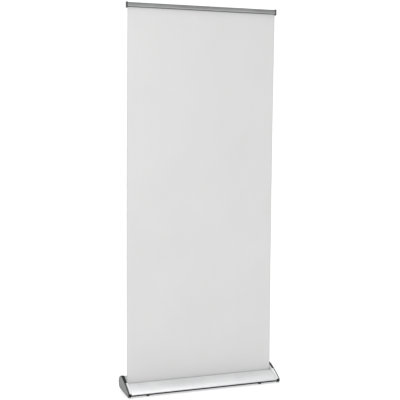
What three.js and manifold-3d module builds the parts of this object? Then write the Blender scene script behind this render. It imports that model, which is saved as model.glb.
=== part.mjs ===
// Roll-up banner stand: a teardrop cassette base, a telescopic pole behind the banner and a snap rail.
// Millimetres, +Z up. The front faces -Y, the stand is centred on X and stands on z = 0.
import * as THREE from "three";
import { mergeVertices } from "three/addons/utils/BufferGeometryUtils.js";
import Module from "manifold-3d";

const wasm = await Module();
wasm.setup();

// ---------------------------------------------------------------- driving dimensions
const BANNER_WIDTH = 850;
const BANNER_VISIBLE = 2000;
const BANNER_THICKNESS = 0.5;

const SLOT_SIDE_CLEARANCE = 2.5;
const BASE_DEPTH = 184;
const PLATE_THICKNESS = 18;
const PLATE_BEVEL = 3;
const PLATE_FLOOR_GAP = 7;
const PLATE_HEIGHT = 83;
const NOSE_RADIUS = 12;
const PLATE_NOSE_DROP = 4;

const SLOT_Y = 4;
const SLOT_HEIGHT = 56;
const HOUSING_WALL = 2;
const HOUSING_INSET = 3;
const COVER_WALL = 1.8;

const ROLLER_Y = 32;
const ROLLER_HEIGHT = 46;
const ROLLER_RADIUS = 13;
const ROLLER_WALL = 1.2;
const WOUND_THICKNESS = 2.5;
const GUIDE_ROD_RADIUS = 4;
const SHAFT_RADIUS = 3;

const POLE_Y = 40;
const POLE_RADIUS = 12.5;
const POLE_WALL = 1.2;
const POLE_STEP = 2;
const SECTION_TRAVEL = 600;
const SECTION_OVERLAP = 85;

const RAIL_HEIGHT = 25.5;
const RAIL_LENGTH = BANNER_WIDTH + 2;
const RAIL_CAP_THICKNESS = 5;

const FOOT_X = 330;
const FRONT_FOOT_Y = -66;
const REAR_FOOT_Y = 60;
const FOOT_RADIUS = 8;
const PAD_RADIUS = 10;
const STUD_RADIUS = 3;

const GAP = 0.3;
const RUNNING_GAP = 0.1;

// ---------------------------------------------------------------- places worked out from them
const plateInnerX = BANNER_WIDTH / 2 + SLOT_SIDE_CLEARANCE;
const plateOuterX = plateInnerX + PLATE_THICKNESS;
const insideX = plateInnerX - GAP;
const noseY = -BASE_DEPTH / 2;
const tailY = BASE_DEPTH / 2;
const woundRadius = ROLLER_RADIUS + WOUND_THICKNESS;
const railBottom = SLOT_HEIGHT + BANNER_VISIBLE;
const railTop = railBottom + RAIL_HEIGHT;
const railHalf = RAIL_LENGTH / 2;
const bannerFrontY = SLOT_Y - BANNER_THICKNESS / 2;
const bannerBackY = SLOT_Y + BANNER_THICKNESS / 2;

// ---------------------------------------------------------------- finishes
const FINISHES = {
  aluminium: { color: 0xb9bcbf, roughness: 0.38, metalness: 0.9 },
  cover: { color: 0xd9dadb, roughness: 0.45, metalness: 0.6 },
  plate: { color: 0x97999c, roughness: 0.35, metalness: 0.5 },
  trim: { color: 0x0d0d0e, roughness: 0.25, metalness: 0.0 },
  plastic: { color: 0x1b1c1d, roughness: 0.5, metalness: 0.0 },
  rubber: { color: 0x111111, roughness: 0.85, metalness: 0.0 },
  steel: { color: 0x8f9194, roughness: 0.3, metalness: 1.0 },
  brush: { color: 0x55575a, roughness: 0.95, metalness: 0.0 },
  film: { color: 0xe9e9e8, roughness: 0.55, metalness: 0.0 },
};

const stand = new THREE.Group();
stand.name = "roll_up_banner_stand";

function add(name, geometry, finish) {
  const mesh = new THREE.Mesh(geometry, new THREE.MeshStandardMaterial(FINISHES[finish]));
  mesh.name = name;
  stand.add(mesh);
}

// ---------------------------------------------------------------- shape helpers
// Profiles are drawn as (y, z) and run across the stand along X.
const ACROSS = new THREE.Matrix4().makeBasis(
  new THREE.Vector3(0, 1, 0),
  new THREE.Vector3(0, 0, 1),
  new THREE.Vector3(1, 0, 0)
);

function extrude(shape, depth, bevel, circleSides) {
  return new THREE.ExtrudeGeometry(shape, {
    depth: depth - 2 * bevel,
    curveSegments: circleSides / 2,
    bevelEnabled: bevel > 0,
    bevelThickness: bevel,
    bevelSize: bevel,
    bevelOffset: -bevel,
    bevelSegments: 1,
  }).translate(0, 0, bevel);
}

function prismAcross(shape, fromX, toX, bevel = 0, circleSides = 24) {
  return extrude(shape, toX - fromX, bevel, circleSides).translate(0, 0, fromX).applyMatrix4(ACROSS);
}

function prismUp(shape, fromZ, toZ, circleSides = 24) {
  return extrude(shape, toZ - fromZ, 0, circleSides).translate(0, 0, fromZ);
}

function polygon(points) {
  return new THREE.Shape(points.map(([a, b]) => new THREE.Vector2(a, b)));
}

function disc(a, b, radius, holeRadius = 0) {
  const shape = new THREE.Shape().absarc(a, b, radius, 0, 2 * Math.PI);
  if (holeRadius > 0) {
    shape.holes.push(new THREE.Path().absarc(a, b, holeRadius, 0, 2 * Math.PI, true));
  }
  return shape;
}

function box(fromX, toX, fromY, toY, fromZ, toZ) {
  return new THREE.BoxGeometry(toX - fromX, toY - fromY, toZ - fromZ).translate(
    (fromX + toX) / 2,
    (fromY + toY) / 2,
    (fromZ + toZ) / 2
  );
}

function rodUp(radius, fromZ, toZ, x, y, sides = 16) {
  return new THREE.CylinderGeometry(radius, radius, toZ - fromZ, sides)
    .rotateX(Math.PI / 2)
    .translate(x, y, (fromZ + toZ) / 2);
}

function rodAcross(radius, fromX, toX, y, z, sides = 16) {
  return new THREE.CylinderGeometry(radius, radius, toX - fromX, sides)
    .rotateZ(Math.PI / 2)
    .translate((fromX + toX) / 2, y, z);
}

function rodDeep(radius, fromY, toY, x, z, sides = 16) {
  return new THREE.CylinderGeometry(radius, radius, toY - fromY, sides).translate(x, (fromY + toY) / 2, z);
}

// A lathe profile is a list of [radius, height] pairs that starts and ends on the axis.
function turned(profile, x, y, sides = 24) {
  const points = profile.map(([radius, height]) => new THREE.Vector2(radius, height));
  return new THREE.LatheGeometry(points, sides).rotateX(Math.PI / 2).translate(x, y, 0);
}

function solid(geometry) {
  const bare = geometry.clone();
  bare.deleteAttribute("normal");
  bare.deleteAttribute("uv");
  const merged = mergeVertices(bare);
  return new wasm.Manifold(
    new wasm.Mesh({
      numProp: 3,
      vertProperties: Float32Array.from(merged.attributes.position.array),
      triVerts: Uint32Array.from(merged.index.array),
    })
  );
}

function surface(manifold) {
  const mesh = manifold.getMesh();
  const geometry = new THREE.BufferGeometry();
  geometry.setAttribute("position", new THREE.BufferAttribute(mesh.vertProperties, 3));
  geometry.setIndex(new THREE.BufferAttribute(mesh.triVerts, 1));
  geometry.computeVertexNormals();
  return geometry;
}

function join(...pieces) {
  return surface(pieces.map(solid).reduce((whole, piece) => whole.add(piece)));
}

function cut(body, ...tools) {
  return surface(tools.map(solid).reduce((whole, tool) => whole.subtract(tool), solid(body)));
}

// ---------------------------------------------------------------- the teardrop outline of the base
// Runs clockwise seen from +X: under the nose, up the front slope, over the hump and down the back.
const NOSE_TURN = THREE.MathUtils.degToRad(140);
const apex = new THREE.Vector2(POLE_Y - 2, PLATE_FLOOR_GAP + PLATE_HEIGHT);
const tail = new THREE.Vector2(tailY, PLATE_HEIGHT * 0.57 + PLATE_FLOOR_GAP);
const heel = new THREE.Vector2(tailY - 28, PLATE_FLOOR_GAP * 2);

function teardrop(noseDrop) {
  const radius = NOSE_RADIUS + noseDrop / 2;
  const bottom = PLATE_FLOOR_GAP - noseDrop;
  const path = new THREE.Path();
  path.moveTo(noseY + radius, bottom);
  path.absarc(noseY + radius, bottom + radius, radius, -Math.PI / 2, NOSE_TURN - 2 * Math.PI, true);
  path.bezierCurveTo(noseY + 26, apex.y - 48, apex.x - 36, apex.y - 9, apex.x, apex.y);
  path.bezierCurveTo(apex.x + 16, apex.y + 2, tail.x, tail.y + 24, tail.x, tail.y);
  path.bezierCurveTo(tail.x, tail.y - 24, heel.x + 20, heel.y + 1.5, heel.x, heel.y);
  return path.getPoints(16);
}
const outline = teardrop(0);
const plateOutline = teardrop(PLATE_NOSE_DROP);

function inset(points, distance) {
  return points.map((point, i) => {
    const before = points[(i + points.length - 1) % points.length];
    const after = points[(i + 1) % points.length];
    const along = after.clone().sub(before).normalize();
    return new THREE.Vector2(point.x + along.y * distance, point.y - along.x * distance);
  });
}

// A thin wall whose outer face follows the given points, thickened to the right of their direction.
function wallShape(points, thickness) {
  const last = points.length - 1;
  const inner = points.map((point, i) => {
    const before = point.clone().sub(points[Math.max(i - 1, 0)]).normalize();
    const after = points[Math.min(i + 1, last)].clone().sub(point).normalize();
    const along = i === 0 ? after : i === last ? before : before.clone().add(after).normalize();
    const reach = thickness / Math.max(along.dot(i === 0 ? after : before), 0.5);
    return new THREE.Vector2(point.x + along.y * reach, point.y - along.x * reach);
  });
  return new THREE.Shape([...points, ...inner.reverse()]);
}

// ---------------------------------------------------------------- housing: tray, back and hump in one
const LIP_Y = SLOT_Y + 3;
const LIP_BOTTOM = SLOT_HEIGHT - 7;
const TRAY_FRONT_Y = noseY + 12;
const TRAY_LIP_HEIGHT = 4;
const SOCKET_WALL = 6.5;
const SOCKET_SCREW_SPACE = 6;
const SOCKET_DEPTH = 20;
const SCREW_RADIUS = 1.6;

const skin = inset(outline, HOUSING_INSET);
const humpSkin = skin.filter((point) => point.y > SLOT_HEIGHT && point.x > LIP_Y + 4);
const backSkin = skin.filter((point) => point.y <= SLOT_HEIGHT && point.x > heel.x - 1);
const floorAt = (y) => {
  const front = skin[0];
  const back = skin[skin.length - 1];
  return front.y + ((y - front.x) / (back.x - front.x)) * (back.y - front.y);
};
const housingTop = Math.max(...skin.map((point) => point.y));
const housingPath = [
  new THREE.Vector2(LIP_Y, LIP_BOTTOM),
  new THREE.Vector2(LIP_Y, humpSkin[0].y - 4),
  new THREE.Vector2(LIP_Y + 1.5, humpSkin[0].y - 1.5),
  ...humpSkin,
  ...backSkin,
  new THREE.Vector2(TRAY_FRONT_Y, floorAt(TRAY_FRONT_Y)),
  new THREE.Vector2(TRAY_FRONT_Y, floorAt(TRAY_FRONT_Y) + TRAY_LIP_HEIGHT),
];
const socketRadius = POLE_RADIUS + SOCKET_WALL;
const socketScrewX = socketRadius + SOCKET_SCREW_SPACE;
const socketFloor = housingTop - SOCKET_DEPTH;

function housing() {
  const tools = [rodUp(socketRadius + GAP, socketFloor - 2, housingTop + 5, 0, POLE_Y, 24)];
  for (const side of [-1, 1]) {
    tools.push(rodUp(STUD_RADIUS + 1, 0, PLATE_FLOOR_GAP + 10, side * FOOT_X, FRONT_FOOT_Y));
    tools.push(rodUp(SCREW_RADIUS + GAP, housingTop - 8, housingTop + 5, side * socketScrewX, POLE_Y));
  }
  return cut(prismAcross(wallShape(housingPath, HOUSING_WALL), -insideX, insideX), ...tools);
}
add("base_housing", housing(), "aluminium");

// ---------------------------------------------------------------- front cover and its floor strip
const COVER_TOP_Y = SLOT_Y - 4;
const COVER_FOOT = new THREE.Vector2(noseY + 9, PLATE_FLOOR_GAP + 9);
const COVER_LIP = 5;

function frontCover() {
  const slope = new THREE.QuadraticBezierCurve(
    COVER_FOOT,
    new THREE.Vector2(noseY + 32, SLOT_HEIGHT - 17),
    new THREE.Vector2(COVER_TOP_Y, SLOT_HEIGHT)
  ).getPoints(10);
  const path = [...slope, new THREE.Vector2(COVER_TOP_Y, SLOT_HEIGHT - COVER_LIP)];
  return prismAcross(wallShape(path, COVER_WALL), -insideX, insideX);
}
add("front_cover", frontCover(), "cover");

const STRIP_FRONT_Y = noseY + 5;
function frontEdgeStrip() {
  const back = TRAY_FRONT_Y - GAP;
  const low = PLATE_FLOOR_GAP + 1;
  const high = COVER_FOOT.y - 1.6;
  return prismAcross(
    polygon([
      [back, low],
      [STRIP_FRONT_Y + 2, low],
      [STRIP_FRONT_Y, low + 2],
      [STRIP_FRONT_Y, high - 1],
      [STRIP_FRONT_Y + 1, high],
      [back, high],
    ]),
    -insideX,
    insideX
  );
}
add("front_edge_strip", frontEdgeStrip(), "rubber");

// ---------------------------------------------------------------- brush strips each side of the slot
const BRUSH_LENGTH = 2 * insideX - 4;
const BRUSH_HEIGHT = 6;
function slotBrush(fromY, toY) {
  const top = SLOT_HEIGHT - 0.5;
  return box(-BRUSH_LENGTH / 2, BRUSH_LENGTH / 2, fromY, toY, top - BRUSH_HEIGHT, top);
}
add("slot_brush_front", slotBrush(COVER_TOP_Y + GAP, bannerFrontY - GAP), "brush");
add("slot_brush_rear", slotBrush(bannerBackY + GAP, LIP_Y - GAP), "brush");

// ---------------------------------------------------------------- end plates with a dark edge trim
const TRIM_DEPTH = 1.4;
const TRIM_MARGIN = PLATE_BEVEL + 0.5;
const TRIM_INNER_MARGIN = 6.5;
const TRIM_FRONT_Y = noseY + 56;
const TRIM_REAR_HEIGHT = PLATE_FLOOR_GAP + 34;
const BRACKET_SCREW_REACH = 14;
const BRACKET_SCREW_DEPTH = 7;

const trimPath = outline.filter(
  (point) => (point.y > SLOT_HEIGHT - 20 && point.x > TRIM_FRONT_Y) || (point.x > tailY - 10 && point.y > TRIM_REAR_HEIGHT)
);

function mirrored(side, near, far) {
  return side > 0 ? [near, far] : [-far, -near];
}

for (const [side, word] of [[-1, "left"], [1, "right"]]) {
  const blank = prismAcross(new THREE.Shape(plateOutline), ...mirrored(side, plateInnerX, plateOuterX), PLATE_BEVEL);
  const trimRange = mirrored(side, plateInnerX + TRIM_INNER_MARGIN, plateOuterX - TRIM_MARGIN);
  const grooveRange = mirrored(side, plateInnerX + TRIM_INNER_MARGIN - GAP, plateOuterX - TRIM_MARGIN + GAP);
  const grooveFace = inset(trimPath, -1);
  grooveFace[0] = trimPath[0].clone().add(new THREE.Vector2(-1, 1));
  grooveFace[grooveFace.length - 1] = trimPath[trimPath.length - 1].clone().add(new THREE.Vector2(1, -0.4));
  const groove = prismAcross(wallShape(grooveFace, TRIM_DEPTH + 1 + GAP), ...grooveRange);
  const holes = [-1, 1].map((way) =>
    rodAcross(
      SCREW_RADIUS + RUNNING_GAP,
      ...mirrored(side, plateInnerX - 1, plateInnerX + BRACKET_SCREW_DEPTH + GAP),
      ROLLER_Y + way * BRACKET_SCREW_REACH,
      ROLLER_HEIGHT
    )
  );
  add(`end_plate_${word}`, cut(blank, groove, ...holes), "plate");
  add(`end_trim_${word}`, prismAcross(wallShape(trimPath.slice(1, -1), TRIM_DEPTH), ...trimRange), "trim");
}

// ---------------------------------------------------------------- roller, its bearings and its spring
const ROLLER_HALF = insideX - 22;
const BRACKET_THICKNESS = 16;
const BRACKET_RADIUS = 19;
const JOURNAL_RADIUS = 4;
const PLUG_LENGTH = 18;
const PLUG_FLANGE = 3;
const SPRING_RADIUS = 8.5;
const SPRING_WIRE = 0.9;
const SPRING_TURNS = 12;
const SPRING_LENGTH = 290;
const HUB_LENGTH = 18;
const bracketInnerX = insideX - BRACKET_THICKNESS;
const boreRadius = ROLLER_RADIUS - ROLLER_WALL;
const springStartX = -ROLLER_HALF + PLUG_LENGTH + 2;
const springEndX = springStartX + SPRING_LENGTH;

function hexagon(y, z, radius) {
  const corners = [0, 1, 2, 3, 4, 5].map((k) => (k * Math.PI) / 3);
  return polygon(corners.map((angle) => [y + radius * Math.cos(angle), z + radius * Math.sin(angle)]));
}

function axleBracket(side, bore) {
  const body = prismAcross(disc(ROLLER_Y, ROLLER_HEIGHT, BRACKET_RADIUS), ...mirrored(side, bracketInnerX, insideX));
  const screwHoles = [-1, 1].map((way) =>
    rodAcross(
      SCREW_RADIUS + RUNNING_GAP,
      ...mirrored(side, bracketInnerX - 1, insideX + 1),
      ROLLER_Y + way * BRACKET_SCREW_REACH,
      ROLLER_HEIGHT
    )
  );
  return cut(body, bore, ...screwHoles);
}

add(
  "axle_bracket_left",
  axleBracket(-1, prismAcross(hexagon(ROLLER_Y, ROLLER_HEIGHT, JOURNAL_RADIUS + GAP), -insideX + 4, -bracketInnerX + 1)),
  "plastic"
);
add(
  "axle_bracket_right",
  axleBracket(1, rodAcross(JOURNAL_RADIUS + RUNNING_GAP, bracketInnerX - 1, insideX - 4, ROLLER_Y, ROLLER_HEIGHT, 24)),
  "plastic"
);

function bracketScrew(side, way) {
  const y = ROLLER_Y + way * BRACKET_SCREW_REACH;
  const shank = mirrored(side, bracketInnerX - 1, plateInnerX + BRACKET_SCREW_DEPTH);
  const head = mirrored(side, bracketInnerX - 2.5, bracketInnerX - GAP / 2);
  return join(
    rodAcross(SCREW_RADIUS, ...shank, y, ROLLER_HEIGHT, 12),
    rodAcross(SCREW_RADIUS * 2, ...head, y, ROLLER_HEIGHT, 12)
  );
}
for (const [side, word] of [[-1, "left"], [1, "right"]]) {
  add(`bracket_screw_${word}_front`, bracketScrew(side, -1), "steel");
  add(`bracket_screw_${word}_rear`, bracketScrew(side, 1), "steel");
}

add(
  "roller_tube",
  prismAcross(disc(ROLLER_Y, ROLLER_HEIGHT, ROLLER_RADIUS, boreRadius), -ROLLER_HALF, ROLLER_HALF),
  "aluminium"
);
add(
  "wound_leader",
  prismAcross(
    disc(ROLLER_Y, ROLLER_HEIGHT, woundRadius, ROLLER_RADIUS + RUNNING_GAP),
    -BANNER_WIDTH / 2 + 20,
    BANNER_WIDTH / 2 - 20
  ),
  "film"
);

function rollerPlug(side) {
  const flange = mirrored(side, ROLLER_HALF + RUNNING_GAP, ROLLER_HALF + PLUG_FLANGE);
  const spigot = mirrored(side, ROLLER_HALF - PLUG_LENGTH, ROLLER_HALF + PLUG_FLANGE);
  return join(
    rodAcross(ROLLER_RADIUS + 1.5, ...flange, ROLLER_Y, ROLLER_HEIGHT, 24),
    rodAcross(boreRadius - RUNNING_GAP, ...spigot, ROLLER_Y, ROLLER_HEIGHT, 24)
  );
}
const shaftBore = rodAcross(
  SHAFT_RADIUS + RUNNING_GAP * 2,
  -ROLLER_HALF - PLUG_FLANGE - 1,
  -ROLLER_HALF + PLUG_LENGTH + 1,
  ROLLER_Y,
  ROLLER_HEIGHT
);
add("roller_plug_left", cut(rollerPlug(-1), shaftBore), "plastic");
add(
  "roller_plug_right",
  join(rollerPlug(1), rodAcross(JOURNAL_RADIUS, ROLLER_HALF, insideX - 5, ROLLER_Y, ROLLER_HEIGHT, 24)),
  "plastic"
);

add(
  "spring_shaft",
  join(
    prismAcross(hexagon(ROLLER_Y, ROLLER_HEIGHT, JOURNAL_RADIUS), -insideX + 5, -bracketInnerX + 2),
    rodAcross(SHAFT_RADIUS, -bracketInnerX + 1, springEndX + 2 + HUB_LENGTH, ROLLER_Y, ROLLER_HEIGHT)
  ),
  "steel"
);
add(
  "spring_hub",
  prismAcross(
    disc(ROLLER_Y, ROLLER_HEIGHT, boreRadius - 1, SHAFT_RADIUS + RUNNING_GAP),
    springEndX + 2,
    springEndX + 1 + HUB_LENGTH,
    0,
    16
  ),
  "plastic"
);

class Coil extends THREE.Curve {
  getPoint(t, target = new THREE.Vector3()) {
    const angle = 2 * Math.PI * SPRING_TURNS * t;
    return target.set(
      springStartX + SPRING_LENGTH * t,
      ROLLER_Y + SPRING_RADIUS * Math.cos(angle),
      ROLLER_HEIGHT + SPRING_RADIUS * Math.sin(angle)
    );
  }
}
function torsionSpring() {
  const sides = [0, 1, 2, 3, 4].map((k) => (2 * Math.PI * k) / 5);
  const wire = polygon(sides.map((angle) => [SPRING_WIRE * Math.cos(angle), SPRING_WIRE * Math.sin(angle)]));
  return new THREE.ExtrudeGeometry(wire, { steps: SPRING_TURNS * 12, extrudePath: new Coil() });
}
add("torsion_spring", torsionSpring(), "steel");

// ---------------------------------------------------------------- guide rod and the web that runs round it
const guide = new THREE.Vector2(bannerBackY + GAP + GUIDE_ROD_RADIUS, ROLLER_HEIGHT - 8);
const WEB_TOP = guide.y + 6;
add("guide_rod", rodAcross(GUIDE_ROD_RADIUS, -insideX + 1, insideX - 1, guide.x, guide.y), "steel");

function leaderWeb() {
  const roller = new THREE.Vector2(ROLLER_Y, ROLLER_HEIGHT);
  const across = guide.clone().sub(roller);
  const atRoller = woundRadius + GAP + BANNER_THICKNESS;
  const atGuide = GUIDE_ROD_RADIUS + GAP + BANNER_THICKNESS;
  const leave = across.angle() + Math.acos((atRoller - atGuide) / across.length());
  const bend = [];
  for (let step = 0; step <= 6; step += 1) {
    const angle = leave + ((Math.PI - leave) * step) / 6;
    bend.push(new THREE.Vector2(guide.x + atGuide * Math.cos(angle), guide.y + atGuide * Math.sin(angle)));
  }
  const start = new THREE.Vector2(
    roller.x + atRoller * Math.cos(leave),
    roller.y + atRoller * Math.sin(leave)
  );
  const path = [start, ...bend, new THREE.Vector2(bend[6].x, WEB_TOP)];
  const half = BANNER_WIDTH / 2 - 20;
  return prismAcross(wallShape(path, BANNER_THICKNESS), -half, half);
}
add("leader_web", leaderWeb(), "film");

// ---------------------------------------------------------------- feet
const REAR_FOOT_RADIUS = 9;
const PAD_HEIGHT = 5.5;
const INSERT_HEIGHT = 8;
const STUD_TOP = 22;

function rearFoot(side) {
  const top = floorAt(REAR_FOOT_Y - REAR_FOOT_RADIUS) - RUNNING_GAP;
  return turned(
    [
      [0, 0],
      [REAR_FOOT_RADIUS - 1, 0],
      [REAR_FOOT_RADIUS, 1],
      [REAR_FOOT_RADIUS - 2, top],
      [0, top],
    ],
    side * FOOT_X,
    REAR_FOOT_Y,
    20
  );
}

function footPad(side) {
  return turned(
    [
      [0, 0],
      [PAD_RADIUS - 1, 0],
      [PAD_RADIUS, 1],
      [PAD_RADIUS - 1, PAD_HEIGHT],
      [STUD_RADIUS + GAP, PAD_HEIGHT],
      [STUD_RADIUS + GAP, 2],
      [0, 2],
    ],
    side * FOOT_X,
    FRONT_FOOT_Y,
    20
  );
}

function footInsert(side) {
  const base = floorAt(FRONT_FOOT_Y + FOOT_RADIUS) + HOUSING_WALL + GAP;
  return prismUp(
    disc(side * FOOT_X, FRONT_FOOT_Y, FOOT_RADIUS, STUD_RADIUS + RUNNING_GAP),
    base,
    base + INSERT_HEIGHT,
    20
  );
}

for (const [side, word] of [[-1, "left"], [1, "right"]]) {
  add(`rear_foot_${word}`, rearFoot(side), "rubber");
  add(`front_foot_pad_${word}`, footPad(side), "rubber");
  add(`front_foot_stud_${word}`, rodUp(STUD_RADIUS, 2 + GAP, STUD_TOP, side * FOOT_X, FRONT_FOOT_Y), "steel");
  add(`front_foot_insert_${word}`, footInsert(side), "plastic");
}

// ---------------------------------------------------------------- pole socket
const SOCKET_RISE = 28;
const SOCKET_FLOOR_THICKNESS = 3;
const FLANGE_MARGIN = 7;
const FLANGE_THICKNESS = 3;
const flangeHalfWidth = socketScrewX + FLANGE_MARGIN;
const flangeBottom = housingTop + GAP;
const socketTop = flangeBottom + SOCKET_RISE;

function poleSocket() {
  const flange = new THREE.Shape();
  const bend = flangeHalfWidth - socketRadius + 3;
  flange.absarc(flangeHalfWidth - bend, POLE_Y, bend, -Math.PI / 2, Math.PI / 2);
  flange.absarc(bend - flangeHalfWidth, POLE_Y, bend, Math.PI / 2, (3 * Math.PI) / 2);
  const body = join(
    prismUp(flange, flangeBottom, flangeBottom + FLANGE_THICKNESS),
    rodUp(socketRadius, socketFloor, flangeBottom + FLANGE_THICKNESS, 0, POLE_Y, 24),
    rodUp(socketRadius - 2, socketFloor, socketTop, 0, POLE_Y, 24)
  );
  const screwHoles = [-1, 1].map((side) =>
    rodUp(SCREW_RADIUS + RUNNING_GAP, flangeBottom - 1, socketTop, side * socketScrewX, POLE_Y)
  );
  const well = rodUp(POLE_RADIUS + RUNNING_GAP, socketFloor + SOCKET_FLOOR_THICKNESS, socketTop + 1, 0, POLE_Y, 24);
  return cut(body, well, ...screwHoles);
}
add("pole_socket", poleSocket(), "plastic");

for (const [side, word] of [[-1, "left"], [1, "right"]]) {
  const top = flangeBottom + FLANGE_THICKNESS;
  add(
    `socket_screw_${word}`,
    join(
      rodUp(SCREW_RADIUS, housingTop - 7, top + 1, side * socketScrewX, POLE_Y, 12),
      rodUp(SCREW_RADIUS * 2, top + GAP / 2, top + 2, side * socketScrewX, POLE_Y, 12)
    ),
    "steel"
  );
}

// ---------------------------------------------------------------- telescopic pole, three sections
const COLLAR_ABOVE = 8;
const COLLAR_BELOW = 36;
const COLLAR_WALL = 4.5;
const HEAD_HEIGHT = 12;
const HEAD_DROP = 4;
const FOOT_PLUG_HEIGHT = 6;
const STOP_GAP = 2;
const headBottom = railBottom - HEAD_DROP - HEAD_HEIGHT;
const lowerBottom = socketFloor + SOCKET_FLOOR_THICKNESS + 2;
const upperTop = headBottom - RUNNING_GAP;
const middleTop = upperTop - SECTION_TRAVEL - COLLAR_ABOVE - STOP_GAP;
const lowerTop = middleTop - SECTION_TRAVEL - COLLAR_ABOVE - COLLAR_BELOW - STOP_GAP;
const sections = [
  { name: "lower", radius: POLE_RADIUS, from: lowerBottom, to: lowerTop },
  { name: "middle", radius: POLE_RADIUS - POLE_STEP, from: lowerTop - SECTION_OVERLAP, to: middleTop },
  { name: "upper", radius: POLE_RADIUS - 2 * POLE_STEP, from: middleTop - SECTION_OVERLAP, to: upperTop },
];

for (const { name, radius, from, to } of sections) {
  add(`pole_${name}_tube`, prismUp(disc(0, POLE_Y, radius, radius - POLE_WALL), from, to), "aluminium");
}

// The plug under each sliding section is wider than its own tube, so it guides in the tube below.
function slidePlug(section, guideRadius) {
  const spigot = section.radius - POLE_WALL - RUNNING_GAP;
  return join(
    rodUp(guideRadius, section.from - FOOT_PLUG_HEIGHT, section.from - RUNNING_GAP, 0, POLE_Y, 24),
    rodUp(spigot, section.from - 1, section.from + FOOT_PLUG_HEIGHT, 0, POLE_Y, 24)
  );
}
for (const [index, section] of sections.entries()) {
  if (index > 0) {
    const around = sections[index - 1];
    add(`pole_${section.name}_plug`, slidePlug(section, around.radius - POLE_WALL - RUNNING_GAP), "plastic");
  }
}
add(
  "pole_foot_plug",
  join(
    rodUp(POLE_RADIUS, lowerBottom - 1.7, lowerBottom - RUNNING_GAP, 0, POLE_Y, 24),
    rodUp(POLE_RADIUS - POLE_WALL - RUNNING_GAP, lowerBottom - 1, lowerBottom + FOOT_PLUG_HEIGHT, 0, POLE_Y, 24)
  ),
  "plastic"
);

// A twist-lock collar: a fluted grip round the outer tube with a narrower mouth above its end.
function lockCollar(outer, inner) {
  const grip = new THREE.Shape();
  const flutes = 12;
  const reach = outer.radius + COLLAR_WALL;
  for (let k = 0; k < flutes * 4; k += 1) {
    const angle = (2 * Math.PI * k) / (flutes * 4);
    const radius = reach - (k % 4 === 0 ? 1 : 0);
    grip[k === 0 ? "moveTo" : "lineTo"](radius * Math.cos(angle), POLE_Y + radius * Math.sin(angle));
  }
  return cut(
    prismUp(grip, outer.to - COLLAR_BELOW, outer.to + COLLAR_ABOVE),
    rodUp(outer.radius + GAP, outer.to - COLLAR_BELOW - 1, outer.to + GAP, 0, POLE_Y, 24),
    rodUp(inner.radius + GAP, outer.to, outer.to + COLLAR_ABOVE + 1, 0, POLE_Y, 24)
  );
}
add("lock_collar_lower", lockCollar(sections[0], sections[1]), "plastic");
add("lock_collar_upper", lockCollar(sections[1], sections[2]), "plastic");

// ---------------------------------------------------------------- pole head with the tongue the rail hangs on
const TONGUE_HALF_WIDTH = 11;
const TONGUE_Y = SLOT_Y + 10;
const TONGUE_THICKNESS = 3.4;
const TONGUE_HEIGHT = 14;
const HEAD_WALL = 4.5;

function poleHead() {
  const upper = sections[2];
  const halfWidth = upper.radius + HEAD_WALL;
  const headTop = headBottom + HEAD_HEIGHT;
  return join(
    rodUp(upper.radius - POLE_WALL - RUNNING_GAP, headBottom - 20, headBottom + 1, 0, POLE_Y, 24),
    rodUp(halfWidth, headBottom, headTop, 0, POLE_Y, 24),
    box(-halfWidth, halfWidth, TONGUE_Y - 3, POLE_Y, headBottom + 1, headTop),
    box(
      -TONGUE_HALF_WIDTH,
      TONGUE_HALF_WIDTH,
      TONGUE_Y - TONGUE_THICKNESS / 2,
      TONGUE_Y + TONGUE_THICKNESS / 2,
      headTop - 1,
      railBottom + TONGUE_HEIGHT
    )
  );
}
add("pole_head", poleHead(), "plastic");

// ---------------------------------------------------------------- top rail: fixed back and hinged jaw
// Profiles below are given as (y, height above the rail's underside).
const HINGE_Y = SLOT_Y - 4.5;
const HINGE_HEIGHT = RAIL_HEIGHT - 4.9;
const HINGE_RADIUS = 1.5;
const JAW_FRONT_Y = SLOT_Y - 8.2;
const TOP_WALL = 1.5;
const RAIL_BACK_Y = SLOT_Y + 2.9;
const HOOK_SCREW_X = 16;
const HOOK_HEIGHT = 11;

function railBack() {
  const clampY = bannerBackY + GAP + 0.15;
  const profile = polygon(
    [
      [clampY, 0],
      [RAIL_BACK_Y + 1.1, 0],
      [RAIL_BACK_Y + 1.1, 2.5],
      [RAIL_BACK_Y, 3.5],
      [RAIL_BACK_Y, RAIL_HEIGHT - 6.5],
      [RAIL_BACK_Y + 4.6, RAIL_HEIGHT - 5],
      [RAIL_BACK_Y + 4.6, RAIL_HEIGHT],
      [JAW_FRONT_Y + 0.6, RAIL_HEIGHT],
      [JAW_FRONT_Y, RAIL_HEIGHT - 0.6],
      [JAW_FRONT_Y, RAIL_HEIGHT - TOP_WALL],
      [clampY, RAIL_HEIGHT - TOP_WALL],
    ].map(([y, height]) => [y, railBottom + height])
  );
  const bead = rodAcross(HINGE_RADIUS, -railHalf, railHalf, HINGE_Y, railBottom + HINGE_HEIGHT, 12);
  const neck = box(
    -railHalf,
    railHalf,
    HINGE_Y - 0.5,
    HINGE_Y + 0.5,
    railBottom + HINGE_HEIGHT,
    railTop - TOP_WALL / 2
  );
  const screwHoles = [-1, 1].map((side) =>
    rodDeep(SCREW_RADIUS + RUNNING_GAP, 0, RAIL_BACK_Y + 3, side * HOOK_SCREW_X, railBottom + HOOK_HEIGHT)
  );
  return cut(join(prismAcross(profile, -railHalf, railHalf), bead, neck), ...screwHoles);
}
add("rail_back", railBack(), "aluminium");

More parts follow.
